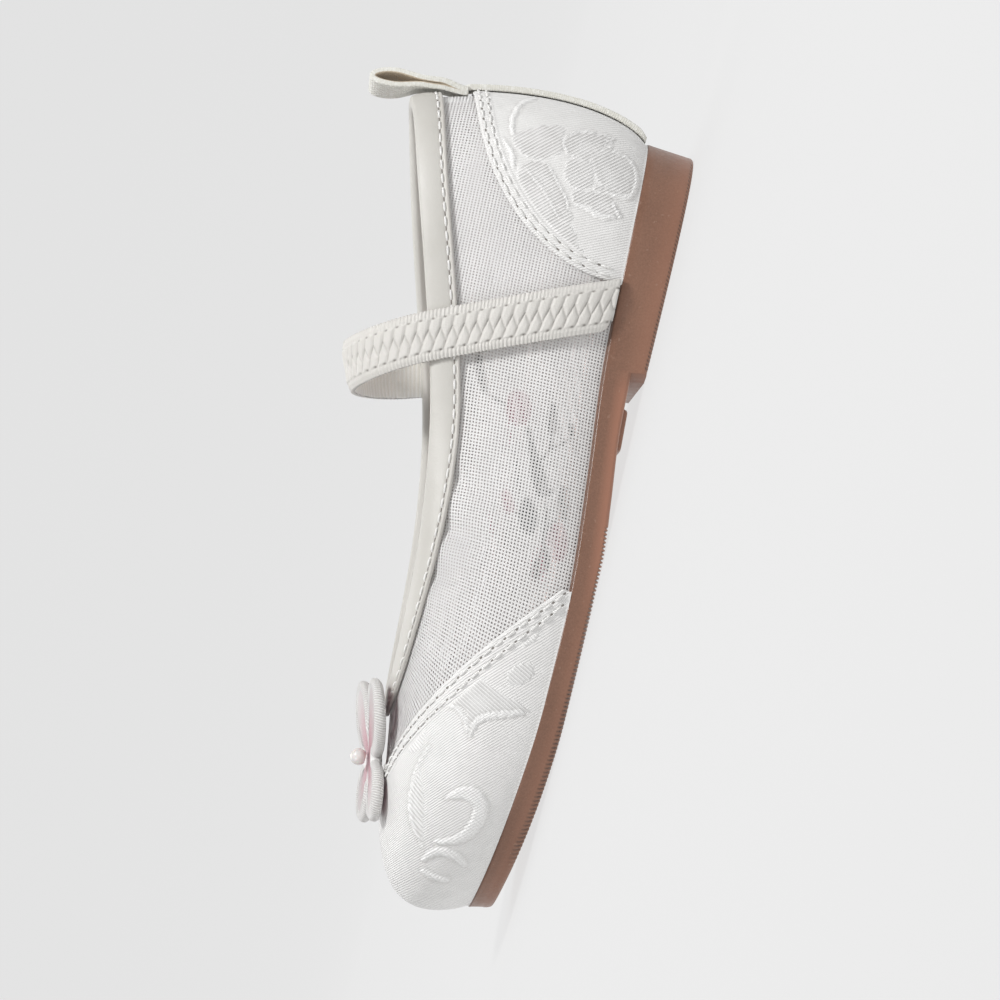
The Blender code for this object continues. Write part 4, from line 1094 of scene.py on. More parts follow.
# Motifs of the cloth as the outer side shows them: x along the shoe and height over the sole, in mm
COUNTER_LEAVES = {
    "stem_leaf": ((9.0, 30.0), (7.0, 27.5), (5.5, 24.5), (4.7, 22.0), (4.5, 19.0), (7.5, 18.7),
                  (10.5, 18.4), (12.4, 21.4), (13.2, 24.5), (12.0, 28.0)),
    "broad_leaf": ((13.4, 24.5), (13.7, 20.6), (16.8, 18.0), (20.0, 15.3), (22.0, 15.0), (23.0, 13.0),
                   (25.5, 13.2), (27.7, 11.0), (29.0, 11.4), (30.6, 8.6), (31.2, 11.4), (29.8, 15.4),
                   (27.6, 19.0), (25.0, 22.6), (22.0, 25.0), (18.8, 26.8), (15.6, 27.0)),
    "upper_petal": ((11.1, 14.0), (10.0, 17.7), (7.4, 18.7), (5.4, 17.5), (4.6, 15.0), (4.2, 11.9),
                    (4.2, 7.6), (6.0, 9.3), (8.2, 10.2), (10.0, 12.0)),
    "round_petal": ((8.2, 10.6), (6.2, 9.3), (7.4, 5.7), (8.3, 3.3), (10.1, 1.6), (12.0, 0.7),
                    (13.8, 0.8), (15.3, 1.6), (15.9, 3.2), (15.6, 5.8), (15.6, 8.2), (13.4, 10.6),
                    (10.5, 12.3)),
    "narrow_petal": ((15.1, 9.6), (15.6, 5.2), (16.2, 1.4), (16.8, 4.2), (16.8, 7.6), (16.4, 10.3)),
    "pointed_petal": ((16.8, 7.6), (17.5, 5.5), (19.1, 4.0), (21.2, 2.6), (21.5, 5.6), (21.4, 8.4),
                      (20.2, 10.7), (20.5, 13.7), (18.0, 14.4), (17.1, 11.5)),
    "heart": ((10.5, 12.0), (13.4, 10.6), (16.4, 11.0), (17.4, 14.4), (14.8, 17.2), (11.4, 16.4)),
}
COUNTER_STEMS = {
    "stem": ((-0.5, 26.5, 0.3), (1.3, 29.0, 0.5), (3.9, 30.2, 0.6), (6.7, 30.4, 0.6), (9.2, 29.6, 0.4)),
    "tendril": ((10.5, 31.5, 0.3), (13.0, 29.0, 0.6), (16.0, 28.4, 0.5), (17.2, 29.8, 0.3)),
    "vein": ((15.4, 25.6, 0.2), (20.0, 20.0, 0.25), (26.0, 14.8, 0.2)),
    "round_edge": ((7.3, 7.6, 0.2), (7.8, 4.4, 0.3), (9.9, 2.0, 0.4), (13.0, 1.0, 0.5),
                   (16.0, 1.7, 0.5)),
    "narrow_edge": ((16.2, 1.9, 0.6), (16.6, 4.6, 0.5), (16.4, 8.2, 0.2)),
    "pointed_edge": ((20.6, 13.4, 0.2), (20.9, 10.6, 0.5), (21.9, 7.3, 0.7), (21.2, 3.6, 0.5)),
    "pointed_tip": ((20.9, 3.2, 0.4), (19.4, 4.6, 0.4), (17.7, 5.8, 0.2)),
    "fringe_1": ((4.1, 10.0, 0.2), (4.6, 7.6, 0.3)),
    "fringe_2": ((5.1, 9.9, 0.2), (5.5, 7.7, 0.3)),
    "fringe_3": ((6.1, 9.8, 0.2), (6.5, 7.8, 0.3)),
    "upper_edge": ((10.4, 17.0, 0.2), (7.4, 18.7, 0.25), (4.7, 15.6, 0.25), (4.1, 11.4, 0.3)),
    "leaf_edge": ((13.6, 20.8, 0.2), (16.8, 18.0, 0.25), (20.2, 15.2, 0.25), (22.4, 14.4, 0.2)),
}
CAP_LEAVES = {
    "back_leaf": ((166.0, 15.0), (162.0, 18.6), (156.5, 20.8), (150.5, 20.6), (155.0, 18.2),
                  (160.0, 16.4)),
    "hem_leaf": ((147.5, 24.0), (143.0, 24.6), (139.6, 23.4), (142.0, 21.8), (146.0, 21.6)),
    "star": ((136.4, 21.6), (135.0, 16.4), (136.6, 15.0), (141.0, 12.9), (135.4, 11.7), (134.2, 7.8),
             (132.2, 2.3), (130.2, 7.3), (128.7, 12.7), (125.7, 18.4), (128.4, 19.0), (131.9, 19.0)),
    "star_leaf": ((127.4, 8.6), (124.8, 8.8), (122.6, 6.9), (122.2, 4.4), (124.4, 3.6), (127.0, 5.6)),
    "far_leaf": ((118.5, 9.4), (115.6, 8.8), (113.4, 5.4), (116.2, 4.6), (118.8, 6.6)),
}
CAP_STEMS = {
    "bowl": ((154.6, 13.4, 0.4), (152.9, 11.0, 1.3), (152.8, 8.3, 1.6), (154.6, 6.3, 1.5),
             (157.9, 5.9, 1.4), (161.4, 7.1, 1.2), (163.6, 9.6, 0.8), (165.0, 13.4, 0.4)),
    "hook": ((169.2, 13.4, 0.4), (167.4, 12.4, 0.8), (166.4, 10.6, 0.9), (166.8, 7.4, 0.9),
             (168.4, 4.6, 0.5)),
    "bar": ((171.6, 12.6, 0.5), (172.6, 9.6, 0.6), (172.2, 6.4, 0.4)),
    "star_leg": ((140.6, 12.9, 0.3), (137.6, 12.8, 0.7), (135.6, 11.2, 0.8), (134.0, 7.4, 0.8),
                 (132.4, 3.0, 0.4)),
    "star_side": ((136.5, 21.4, 0.3), (135.2, 17.6, 0.45), (137.0, 15.2, 0.5), (140.4, 13.3, 0.3)),
    "star_top": ((136.2, 21.0, 0.3), (133.2, 19.4, 0.4), (129.6, 19.2, 0.25)),
    "long_line": ((166.6, 14.6, 0.15), (160.0, 19.4, 0.25), (151.0, 21.2, 0.25), (143.0, 20.0, 0.15)),
}
CHART_STEPS = 4
CHART_PLANE = 0.8
CHART_VIEW = math.tan(math.radians(6.0))


def rounded(rows, closed):
    """A smooth run of rows through the rows of a chart."""
    rows = np.array(rows)
    if closed:
        before, after, last = np.roll(rows, 1, axis=0), np.roll(rows, -1, axis=0), np.roll(rows, -2, axis=0)
    else:
        padded = np.vstack([2 * rows[0] - rows[1], rows, 2 * rows[-1] - rows[-2]])
        before, rows, after, last = padded[:-3], padded[1:-2], padded[2:-1], padded[3:]
    t = (np.arange(CHART_STEPS) / CHART_STEPS)[None, :, None]
    before, rows, after, last = (part[:, None] for part in (before, rows, after, last))
    smooth = 0.5 * (2 * rows + (after - before) * t + (2 * before - 5 * rows + 4 * after - last) * t ** 2
                    + (3 * rows - before - 3 * after + last) * t ** 3)
    return smooth.reshape(-1, smooth.shape[-1])


def leaf_depth(x, height, rows):
    """Depth of points inside a closed outline, negative outside it."""
    rows = rounded(rows, True)
    inside = np.zeros(x.shape, bool)
    nearest = np.full(x.shape, np.inf)
    for start, end in zip(rows, np.roll(rows, -1, axis=0)):
        nearest = np.minimum(nearest, along_segment(x, height, start, end)[1])
        slope = (end[0] - start[0]) / (end[1] - start[1] or DIFFERENCE)
        crossed = (start[1] > height) != (end[1] > height)
        inside ^= crossed & (x < start[0] + (height - start[1]) * slope)
    return np.where(inside, nearest, -nearest)


def stem_depth(x, height, rows):
    """Depth of points inside a stroke of rows with half widths, negative outside it."""
    rows = rounded(rows, False)
    depth = np.full(x.shape, -np.inf)
    for start, end in zip(rows[:-1], rows[1:]):
        t, off = along_segment(x, height, start, end)
        depth = np.maximum(depth, start[2] + (end[2] - start[2]) * t - off)
    return depth


def embroider(points, leaves, stems, ragged):
    """Height, mask and satin of the motifs at each point, the same on both sides of the shoe; satin below
    zero is a painted shadow beside the stems.
    """
    aside = np.abs(points[..., 1])
    x = points[..., 0] + (CHART_PLANE * aside.max() - aside) * CHART_VIEW
    over_sole = points[..., 2] - sole_top(points[..., 0]) - GAP
    height = np.zeros(x.shape)
    mask = np.zeros(x.shape)
    satin = np.zeros(x.shape)
    for rows in leaves.values():
        depth = leaf_depth(x, over_sole, rows) + ragged
        height = np.where(depth > 0.0, RELIEF * smooth_step(depth / LEAF_FADE), height)
        mask = np.maximum(mask, smooth_step(depth / WEAVE_FADE))
        satin = np.maximum(satin, LEAF_OUTLINE * hill(depth - 0.1, 0.2))
    for rows in stems.values():
        depth = stem_depth(x, over_sole, rows) + STEM_RAGGED * ragged
        height = np.maximum(height, (RELIEF + SATIN_RELIEF) * smooth_step((depth + 0.1) / STEM_FADE))
        shine = smooth_step((depth + 0.15) / SATIN_FADE)
        # Just outside each stem, satin drops below zero as a painted shadow
        satin = np.where(depth > -0.15, shine, satin - hill(depth + 0.35, 0.2))
    return height, mask, np.clip(satin, -1.0, 1.0)


def edge_distance(phi, share, edge):
    """Distance in millimetres from a point on an overlay to its free edge."""
    drop = (edge - share) * WALLS.length(phi)
    line = edge[-1] * WALLS.length(phi[-1])
    slope = np.gradient(line) / (np.gradient(phi[-1]) * PERIMETER)
    return drop / np.sqrt(1.0 + slope ** 2)


def make_overlay(node, span, edge, charts, way, material):
    """Jacquard skin from the feather line to its hemmed free edge."""
    start, middle, end = span
    columns = int((end - start) * PERIMETER * OVERLAY_SPREAD / OVERLAY_PITCH)
    phi = np.linspace(start, end, columns)
    top = edge_share(phi, span, edge)
    rows = int((top * WALLS.length(phi)).max() / OVERLAY_PITCH)
    share = np.linspace(0.0, 1.0, rows)[:, None] * top
    phi, top = np.broadcast_arrays(phi, top, share)[:2]
    flat = WALLS.at(phi, share)
    from_edge = edge_distance(phi, share, top)
    along = flat[..., 0] * (1.0 if middle == 0.0 else -1.0)
    up = share * WALLS.length(phi)
    thread = up * math.cos(way) - along * math.sin(way)
    ragged = RAGGED * np.sin(math.pi * thread / MOTIF_PITCH + 1.9 * np.sin(0.9 * thread))
    height, mask, satin = embroider(flat, *charts, ragged)
    clear = smooth_step((from_edge - HEM_WIDTH) / 0.8)
    hem = HEM_RISE * smooth_step((HEM_WIDTH - from_edge) / 0.5)
    for row in HEM_ROWS:
        hem = hem - HEM_GROOVE * hill(from_edge - row, HEM_GROOVE_WIDTH)
    lift = GAP + OVERLAY_THICK + height * clear + hem
    lift = lift - 0.5 * OVERLAY_THICK * hill(np.clip(from_edge, 0.0, None), 0.3)
    outside = WALLS.at(phi, share, lift)
    lip = WALLS.at(phi[-1:], share[-1:], GAP + 0.05)
    tuck = WALLS.at(phi[-1:], share[-1:] - HEM_TUCK / WALLS.length(phi[-1:]), GAP + 0.02)
    skirt = outside[:1] - (0.0, 0.0, SKIRT_DROP)
    fabric = np.stack([along, up, mask * clear], axis=-1)
    fabric = np.pad(fabric, ((1, 2), (0, 0), (0, 0)), "edge").reshape(-1, 3)
    satin = np.pad(satin * clear, ((1, 2), (0, 0)), "edge").ravel()
    add_piece(node + "_looks", np.concatenate([skirt, outside, lip, tuck]), grid_quads(rows + 3, columns),
              material, node, {"fabric": fabric, "satin": satin})
    sew_hem(span, edge)


def sew_hem(span, edge):
    """Two rows of stitches that follow the free edge of an overlay."""
    phi = np.linspace(span[0], span[2], 900)
    share = edge_share(phi, span, edge)
    line = WALLS.at(phi, share)
    normal = WALLS.normal(phi, share)
    inward = np.cross(unit(np.gradient(line, axis=0)), normal)
    up = unit(WALLS.read(WALLS.ups, phi, share))
    round_about = unit(WALLS.read(WALLS.rounds, phi, share))
    inward = inward * -np.sign((inward * up).sum(axis=1))[:, None]
    for row in HEM_ROWS:
        rise = (inward * up).sum(axis=1) * row
        aside = (inward * round_about).sum(axis=1) * row
        pace = np.linalg.norm(WALLS.at(phi + DIFFERENCE, share) - line, axis=1) / DIFFERENCE
        here_phi = phi + aside / pace
        here_share = share + rise / WALLS.length(phi)
        keep = here_share > HEM_LOWEST
        points = WALLS.at(here_phi, here_share, GAP + OVERLAY_THICK + HEM_RISE - STITCH_SINK)
        SEWING.row(points[keep], WALLS.normal(here_phi, here_share)[keep])


def make_overlays():
    """Toe cap and heel counter, each with its own charts and weave."""
    make_overlay("toe_cap", CAP_SPAN, cap_edge, (CAP_LEAVES, CAP_STEMS), math.radians(63.0),
                 jacquard_finish("toe_jacquard_looks", -45.0, 63.0, 0.45))
    make_overlay("heel_counter", COUNTER_SPAN, counter_edge, (COUNTER_LEAVES, COUNTER_STEMS),
                 math.radians(47.0), jacquard_finish("heel_jacquard_looks", 64.0, 47.0, 0.6))


# Collar binding

BINDING_AROUND = 520
BINDING_STITCH = 5.0
BINDING_HOLE = (0.62, 0.17)
BEAD = 0.22
GROOVE = 0.16
OUTSIDE_PUFF = 0.28
INSIDE_PUFF = 0.15


def binding_section():
    """Closed section of the folded strip, as (drop below the topline, lift off the wall) pairs."""
    skin = GAP + BINDING_THICK
    inside = -WALL - GAP
    section = []
    for drop in np.linspace(BINDING_OUTSIDE, 0.0, 26):
        bead = BEAD * hill(drop - BINDING_OUTSIDE + 0.35, 0.3)
        groove = GROOVE * hill(drop - BINDING_STITCH, 0.3)
        puff = OUTSIDE_PUFF * math.sin(math.pi * min(drop / BINDING_STITCH, 1.0)) ** 0.8
        section.append((drop, skin + bead - groove + puff))
    middle = 0.5 * (skin + inside - BINDING_THICK)
    for turn in np.linspace(0.0, math.pi, 11)[1:-1]:
        section.append((-skin * math.sin(turn), middle + (skin - middle) * math.cos(turn)))
    for drop in np.linspace(0.0, BINDING_INSIDE, 8):
        puff = INSIDE_PUFF * math.sin(math.pi * drop / BINDING_INSIDE)
        section.append((drop, inside - BINDING_THICK - puff))
    return section + [(BINDING_INSIDE + 0.05, inside - 0.3), (BINDING_INSIDE, inside), (-GAP, inside),
                      (-GAP, GAP), (BINDING_OUTSIDE, GAP), (BINDING_OUTSIDE + 0.1, 0.5 * (GAP + skin))]


def make_binding():
    """Strip folded over the topline and sewn through near its lower edge."""
    section = binding_section()
    phi = np.arange(BINDING_AROUND) / BINDING_AROUND
    rings = np.stack([collar(phi, drop, lift) for drop, lift in section], axis=1)
    quads = grid_quads(BINDING_AROUND, len(section), ring_columns=True, ring_rows=True)
    add_piece("collar_binding_looks", rings, quads[:, ::-1], binding_finish(),
              "collar_binding", outward=True)
    around = np.linspace(0.0, 1.0, 900)
    share = 1.0 - BINDING_STITCH / WALLS.length(around)
    seam = WALLS.at(around, share, GAP + BINDING_THICK - STITCH_SINK)
    SEWING.row(seam, WALLS.normal(around, share), BINDING_HOLE)


# Back tape and pull loop

TAPE_EDGE = 0.35
TAPE_RUN_ON = 2.2
TAPE_DIP = 0.9
LOOP_TWIST = math.radians(20.0)
HEEL_RADIUS = 9.0


def tape_profile(half_width, thick, steps=5):
    """Closed round-edged section of a flat tape: places across it and above its middle."""
    corners = []
    for side_x, side_z, first in ((1, 1, 0.0), (-1, 1, 0.5), (-1, -1, 1.0), (1, -1, 1.5)):
        for turn in np.linspace(first, first + 0.5, steps) * math.pi:
            corners.append((side_x * (half_width - TAPE_EDGE) + TAPE_EDGE * math.cos(turn),
                            side_z * (0.5 * thick - TAPE_EDGE) + TAPE_EDGE * math.sin(turn)))
        if first in (0.0, 1.0):
            for part in np.linspace(1.0, -1.0, 9)[1:-1]:
                corners.append((side_x * part * (half_width - TAPE_EDGE), side_z * 0.5 * thick))
    return np.array(corners).T


def add_tape(node, rings, run, across, inside, material):
    """A tape's piece, with the places along and across it and its inside, which gets brown painted shade,
    kept for the weave.
    """
    points, faces = capped_tube(rings)
    fabric = np.stack(np.broadcast_arrays(run, across, inside), axis=-1).reshape(-1, 3)
    add_piece(node + "_looks", points, faces, material, node, {"fabric": fabric},
              outward=True)


def make_back_tape(material, steps=150):
    """Tape over the back seam, curved round the heel like the counter under it."""
    across, above = tape_profile(0.5 * TAPE_WIDTH, TAPE_THICK)
    top = TAPE_TOP_SHARE + TAPE_RUN_ON / float(WALLS.length(np.zeros(1))[0])
    share = np.linspace(0.0, top, steps)[:, None]
    dip = TAPE_DIP * smooth_step((share - TAPE_TOP_SHARE) / (top - TAPE_TOP_SHARE))
    lift = 2.0 * GAP + OVERLAY_THICK + 0.5 * TAPE_THICK + above - dip
    phi = across / PERIMETER
    add_tape("back_seam_tape", WALLS.at(phi, share, lift), share * WALLS.length(phi), across, 0.0, material)


def twisted(rings, turns, place, way):
    """Rings turned about a line through place, each by its own angle."""
    local = rings - place
    axial = (local @ way)[..., None] * way
    off = local - axial
    turns = turns[:, None, None]
    return place + axial + off * np.cos(turns) + np.cross(way, off) * np.sin(turns)


def make_pull_loop(material, steps=120):
    """Tape folded into a slim teardrop above the collar, its legs pressed together and tucked in."""
    behind = 2.0 * GAP + BINDING_THICK + LOOP_FOOT
    base = WALLS.at(np.zeros(1), np.array([TAPE_TOP_SHARE]), behind)[0] * (1.0, 0.0, 1.0) + (0.0, 0.0, GAP)
    length = (LOOP_TIP_H + float(sole_top(0.0)) - base[2]) / math.cos(LOOP_LEAN)
    axis = np.array([math.sin(LOOP_LEAN), 0.0, math.cos(LOOP_LEAN)])
    ahead = np.array([math.cos(LOOP_LEAN), 0.0, -math.sin(LOOP_LEAN)])
    along = 1.0 - (1.0 - np.linspace(0.0, 1.0, steps)) ** 1.8
    past_round = np.clip((along - LOOP_ROUND_FROM) / (1.0 - LOOP_ROUND_FROM), 0.0, 1.0)
    swell = smooth_step((along - LOOP_OPENS_AT) / (LOOP_ROUND_FROM - LOOP_OPENS_AT))
    pressed = 1.0 - smooth_step(along / LOOP_TUCK_TO)
    legs = LOOP_FOOT + (LOOP_FOOT_PRESSED - LOOP_FOOT) * pressed
    leg = legs.max() - 0.05
    half = (legs - 0.5 * leg + 0.5 * LOOP_GAP * swell) * np.sqrt(1.0 - past_round ** 2)
    middle = base + axis * (along * (length - 0.5 * leg))[:, None] + ahead * (LOOP_TUCK * pressed)[:, None]
    path = np.vstack([middle + ahead * half[:, None], (middle - ahead * half[:, None])[-2::-1]])
    along = np.concatenate([along, along[-2::-1]])
    side = np.array([0.0, 1.0, 0.0])
    ups = np.cross(unit(np.gradient(path, axis=0)), side)
    across, above = tape_profile(0.5 * LOOP_WIDTH, leg)
    rings = path[:, None] + side * across[:, None] + ups[:, None] * above[:, None]
    hug = 1.0 - smooth_step((along - 0.1) / 0.5)
    rings[..., 0] += hug[:, None] * rings[..., 1] ** 2 / (2.0 * HEEL_RADIUS)
    twist = LOOP_TWIST * smooth_step((along - LOOP_TUCK_TO) / (1.0 - LOOP_TUCK_TO))
    add_tape("pull_loop", twisted(rings, twist, base, axis), running_length(path)[:, None], across,
             above > 0.25 * leg, material)


# Strap

STRAP_OFFSETS = 9
STRAP_PITCH = 0.18
STRAP_BACK_STEP = 4
STRAP_TUCK = (0.0, 0.0, 0.5)
STRAP_SLACK = 15.0
SLACK_FADE = 9.0
GATHER_FROM = 8.0
GATHER_OVER = 16.0
FACE_SINK = 0.15
RIM_SINK = 0.35
STRAP_RIM = 1.2
STRAP_CORNER = 2.2
STRAP_TURN = 4.0
STRAP_RUN_STEPS = 36
STRAP_ARCH_STEPS = 24
TRIAL_STEPS = 80
SEARCH_STEPS = 12
SMOCK_PITCH = 2.7
SMOCK_DEPTH = 0.30
RUFFLE_PITCH = 0.86
EDGE_RIPPLE = 0.11
EDGE_WANDER = 0.12
SLACK_RIPPLE = 0.09
# Rows of the smocking: place across the strap and shift along it in pitches
HOLE_ROW_A = (-3.48, 0.0)
FOLD_ROW_B = (-1.25, 0.39)
FOLD_ROW_C = (1.65, 0.87)
HOLE_ROW_D = (3.57, 0.29)
# Folds between the rows: start and end (along in pitches, across in mm) and how much painted shade both
# ends get
SMOCK_FOLDS = (
    ((FOLD_ROW_B[1], FOLD_ROW_B[0]), (FOLD_ROW_C[1], FOLD_ROW_C[0]), 0.80, 0.25),
    ((FOLD_ROW_B[1] + 1.0, FOLD_ROW_B[0]), (FOLD_ROW_C[1], FOLD_ROW_C[0]), 0.35, 0.40),
    ((FOLD_ROW_B[1] - 0.17, HOLE_ROW_A[0] + 0.3), (FOLD_ROW_B[1], FOLD_ROW_B[0]), 0.15, 0.40),
    ((FOLD_ROW_C[1], FOLD_ROW_C[0]), (FOLD_ROW_C[1] + 0.16, HOLE_ROW_D[0] - 0.2), 0.60, 0.20),
)
FOLD_WIDTH = 0.15
FOLD_SINK = 0.3
NEEDLE_HOLE = 0.20
PUFF_WIDTH = 0.45


def side_of_wall(x, z, side):
    """Places and shares on the wall that have these x and z, on the outer (1) or inner (-1) side."""
    phi = phi_at(x, side)
    share = np.full_like(phi, 0.5)
    for _ in range(SEARCH_STEPS):
        here = WALLS.at(phi, share)
        by_phi = (WALLS.at(phi + DIFFERENCE, share) - here) / DIFFERENCE
        by_share = (WALLS.at(phi, share - DIFFERENCE) - here) / -DIFFERENCE
        miss_x = x - here[:, 0]
        miss_z = z - here[:, 2]
        area = by_phi[:, 0] * by_share[:, 2] - by_phi[:, 2] * by_share[:, 0]
        phi = phi + np.clip((miss_x * by_share[:, 2] - miss_z * by_share[:, 0]) / area, -0.03, 0.03)
        share = share + np.clip((miss_z * by_phi[:, 0] - miss_x * by_phi[:, 2]) / area, -0.2, 0.2)
        share = np.clip(share, 2.0 * DIFFERENCE, 1.0)
    return phi, share


def strap_run(side, offset):
    """One side of the strap at an offset across it, from the sole up to the topline."""
    foot_x = STRAP_FOOT_X + (0.0 if side > 0 else STRAP_FOOT_SHIFT)
    foot = np.array([foot_x, float(sole_top(foot_x))]) + STRAP_ACROSS_WAY * offset
    start = (float(sole_top(foot[0])) + 2.0 * GAP - foot[1]) / STRAP_WAY[1]
    trial = np.linspace(start, STRAP_APEX_H, TRIAL_STEPS)
    _, share = side_of_wall(foot[0] + STRAP_WAY[0] * trial, foot[1] + STRAP_WAY[1] * trial, side)
    top = trial[np.argmax(share > STRAP_LEAVES_AT)]
    distance = np.linspace(start, top, STRAP_RUN_STEPS)
    x = foot[0] + STRAP_WAY[0] * distance
    z = foot[1] + STRAP_WAY[1] * distance
    phi, share = side_of_wall(x, z, side)
    y = WALLS.at(phi, share)[:, 1] + STRAP_LIFT / WALLS.normal(phi, share)[:, 1]
    return np.column_stack([x, y, z])


def strap_line(offset):
    """Inner face of the whole strap at an offset across it, from the outer to the inner side."""
    apex_x = STRAP_FOOT_X + 0.5 * STRAP_FOOT_SHIFT
    apex = np.array([apex_x, float(sole_top(apex_x))]) + STRAP_ACROSS_WAY * offset
    apex = apex + STRAP_WAY * STRAP_APEX_H / STRAP_WAY[1]
    apex = np.array([apex[0], 0.0, apex[1]])
    steps = np.linspace(0.0, 1.0, STRAP_ARCH_STEPS)[1:]
    halves = []
    for side in (1, -1):
        run = strap_run(side, offset)
        heading = unit(run[-1] - run[-2])
        controls = np.array([run[-1], run[-1] + heading * ARCH_START_PULL,
                             apex + (0.0, side * ARCH_TOP_PULL, 0.0), apex])
        arch = bezier(np.repeat(controls[None], len(steps), axis=0), steps)
        halves.append(np.vstack([run, arch]))
    return np.vstack([halves[0], halves[1][-2::-1]])


def ruffle(along):
    """Uneven ripple of the strap's edges, from -1 to 1."""
    return np.sin(2.0 * math.pi * along / RUFFLE_PITCH + 1.7 * np.sin(along / 2.3))


def smocking(along, across, gather, slack):
    """Height of the smocked face and the painted shade of its folds and needle holes."""
    place = np.mod(along, SMOCK_PITCH)
    nearest = np.full(along.shape, np.inf)
    dark = np.zeros_like(along)
    for start, end, start_dark, end_dark in SMOCK_FOLDS:
        for shift in (-2.0, -1.0, 0.0, 1.0):
            ends = [((s + shift) * SMOCK_PITCH, w) for s, w in (start, end)]
            t, off = along_segment(place, across, *ends)
            nearest = np.minimum(nearest, off)
            dark = np.maximum(dark, (start_dark + (end_dark - start_dark) * t) * hill(off, FOLD_WIDTH))
    hole = np.zeros_like(along)
    for row, phase in (HOLE_ROW_A, HOLE_ROW_D):
        beside = (np.mod(along / SMOCK_PITCH - phase + 0.5, 1.0) - 0.5) * SMOCK_PITCH
        off = np.hypot(0.5 * (beside + 0.3 * (across - row)), across - row)
        hole = np.maximum(hole, hill(off, NEEDLE_HOLE))
    hole = hole * (1.0 - 0.8 * slack)
    middle = smooth_step((HOLE_ROW_D[0] + 0.3 - np.abs(across)) / 0.5)
    puff = SMOCK_DEPTH * (1.0 - hill(nearest, PUFF_WIDTH))
    loose = SLACK_RIPPLE * slack * np.sin(5.3 * along + 1.1 * np.sin(1.3 * across + 0.4 * along))
    edges = EDGE_RIPPLE * gather * (1.0 - middle) * ruffle(along)
    height = middle * (puff + loose) - FOLD_SINK * (dark + hole) + edges
    return height, np.maximum(0.75 * dark, hole)


def strap_grid():
    """Inner face of the strap on a fine grid, with its places along and across it, length and rim."""
    offsets = np.linspace(-0.5, 0.5, STRAP_OFFSETS) * STRAP_WIDTH
    lines = [strap_line(offset) for offset in offsets]
    runs = [running_length(line) for line in lines]
    length = runs[STRAP_OFFSETS // 2][-1]
    along = np.linspace(0.0, 1.0, int(length / STRAP_PITCH))
    even = np.stack([read_along(line, run, along * run[-1]) for line, run in zip(lines, runs)], axis=1)
    across = np.linspace(-0.5, 0.5, int(STRAP_WIDTH / STRAP_PITCH)) * STRAP_WIDTH
    s, w = np.meshgrid(along * length, across, indexing="ij")
    rim = smooth_step((np.abs(w) - 0.5 * STRAP_WIDTH + STRAP_RIM) / STRAP_RIM)
    short = np.clip(STRAP_CORNER - np.minimum(s, length - s), 0.0, None)
    corner = STRAP_CORNER - np.sqrt(STRAP_CORNER ** 2 - short ** 2)
    w = w - np.clip(w, 0.0, None) * corner / (0.5 * STRAP_WIDTH)
    place = np.clip((w - offsets[0]) / (offsets[1] - offsets[0]), 0.0, STRAP_OFFSETS - 1.0001)[..., None]
    low = place.astype(int)
    before, after = (np.take_along_axis(even, low + step, axis=1) for step in (0, 1))
    return before + (after - before) * (place - low), s, w, length, rim


def make_strap():
    """Smocked band with gathered edges, closed round its border and by a coarser lining."""
    inner, s, w, length, rim = strap_grid()
    from_end = np.minimum(s, length - s)
    sideways = unit(np.gradient(inner, axis=1))
    normal = unit(np.cross(np.gradient(inner, axis=0), np.gradient(inner, axis=1)))
    if ((inner - inner.mean(axis=(0, 1))) * normal).sum() < 0.0:
        normal = -normal
    normal[..., 2] *= smooth_step(from_end / STRAP_TURN)
    gather = 0.3 + 0.7 * smooth_step((from_end - GATHER_FROM) / GATHER_OVER)
    slack = smooth_step((STRAP_SLACK - np.abs(s - 0.5 * length)) / SLACK_FADE)
    height, painted_fold_shade = smocking(s, w, gather, slack)
    inner = inner + sideways * (EDGE_WANDER * ruffle(s) * rim * np.sign(w) * gather)[..., None]
    outer = inner + normal * (STRAP_THICK - FACE_SINK + height - RIM_SINK * rim)[..., None]
    inner, outer = (np.concatenate([side[:1] - STRAP_TUCK, side, side[-1:] - STRAP_TUCK])
                    for side in (inner, outer))
    s, w, painted_fold_shade = (np.pad(field, ((1, 1), (0, 0)), "edge") for field in (s, w, painted_fold_shade))
    index = np.arange(s.size).reshape(s.shape)
    border = np.concatenate([index[0], index[1:, -1], index[-1, -2::-1], index[-2:0:-1, 0]])
    rim_index = s.size + np.arange(len(border))
    sides = np.stack([border, np.roll(border, -1), np.roll(rim_index, -1), rim_index], axis=1)
    coarse = [np.unique(np.append(np.arange(0, count, STRAP_BACK_STEP), count - 1)) for count in s.shape]
    back = grid_quads(*map(len, coarse))[:, ::-1] + s.size + len(border)
    lining = index[np.ix_(*coarse)].ravel()
    behind = np.concatenate([border, lining])
    points = np.concatenate([outer.reshape(-1, 3), inner.reshape(-1, 3)[behind]])
    inside = np.concatenate([np.zeros(s.size + len(border)), np.ones(len(lining))])
    places = [np.concatenate([field.ravel(), field.ravel()[behind]]) for field in (s, w)]
    painted_fold_shade = np.concatenate([painted_fold_shade.ravel(), np.zeros(len(behind))])
    add_piece("strap_looks", points, np.concatenate([grid_quads(*s.shape), back, sides]), elastic_finish(),
              "strap", {"fabric": np.column_stack([*places, inside]), "painted_fold_shade": painted_fold_shade},
              outward=True)


# Butterfly and pearl

FLY_AROUND = 420
FLY_FIELD_RINGS = 26
FLY_RIM_STEPS = 22
FLY_RIM_RADIUS = 1.35
FLY_FIELD_DROP = 0.3


def lobe_reach(angle, centre, reach):
    """Reach of one round lobe of the butterfly's edge."""
    apart = np.abs((angle - centre + math.pi) % (2.0 * math.pi) - math.pi)
    bend = np.clip(apart / FLY_LOBE_SPREAD, 0.0, 1.0) * 0.5 * math.pi
    return reach * np.sqrt(np.clip(np.cos(bend), 0.0, 1.0))


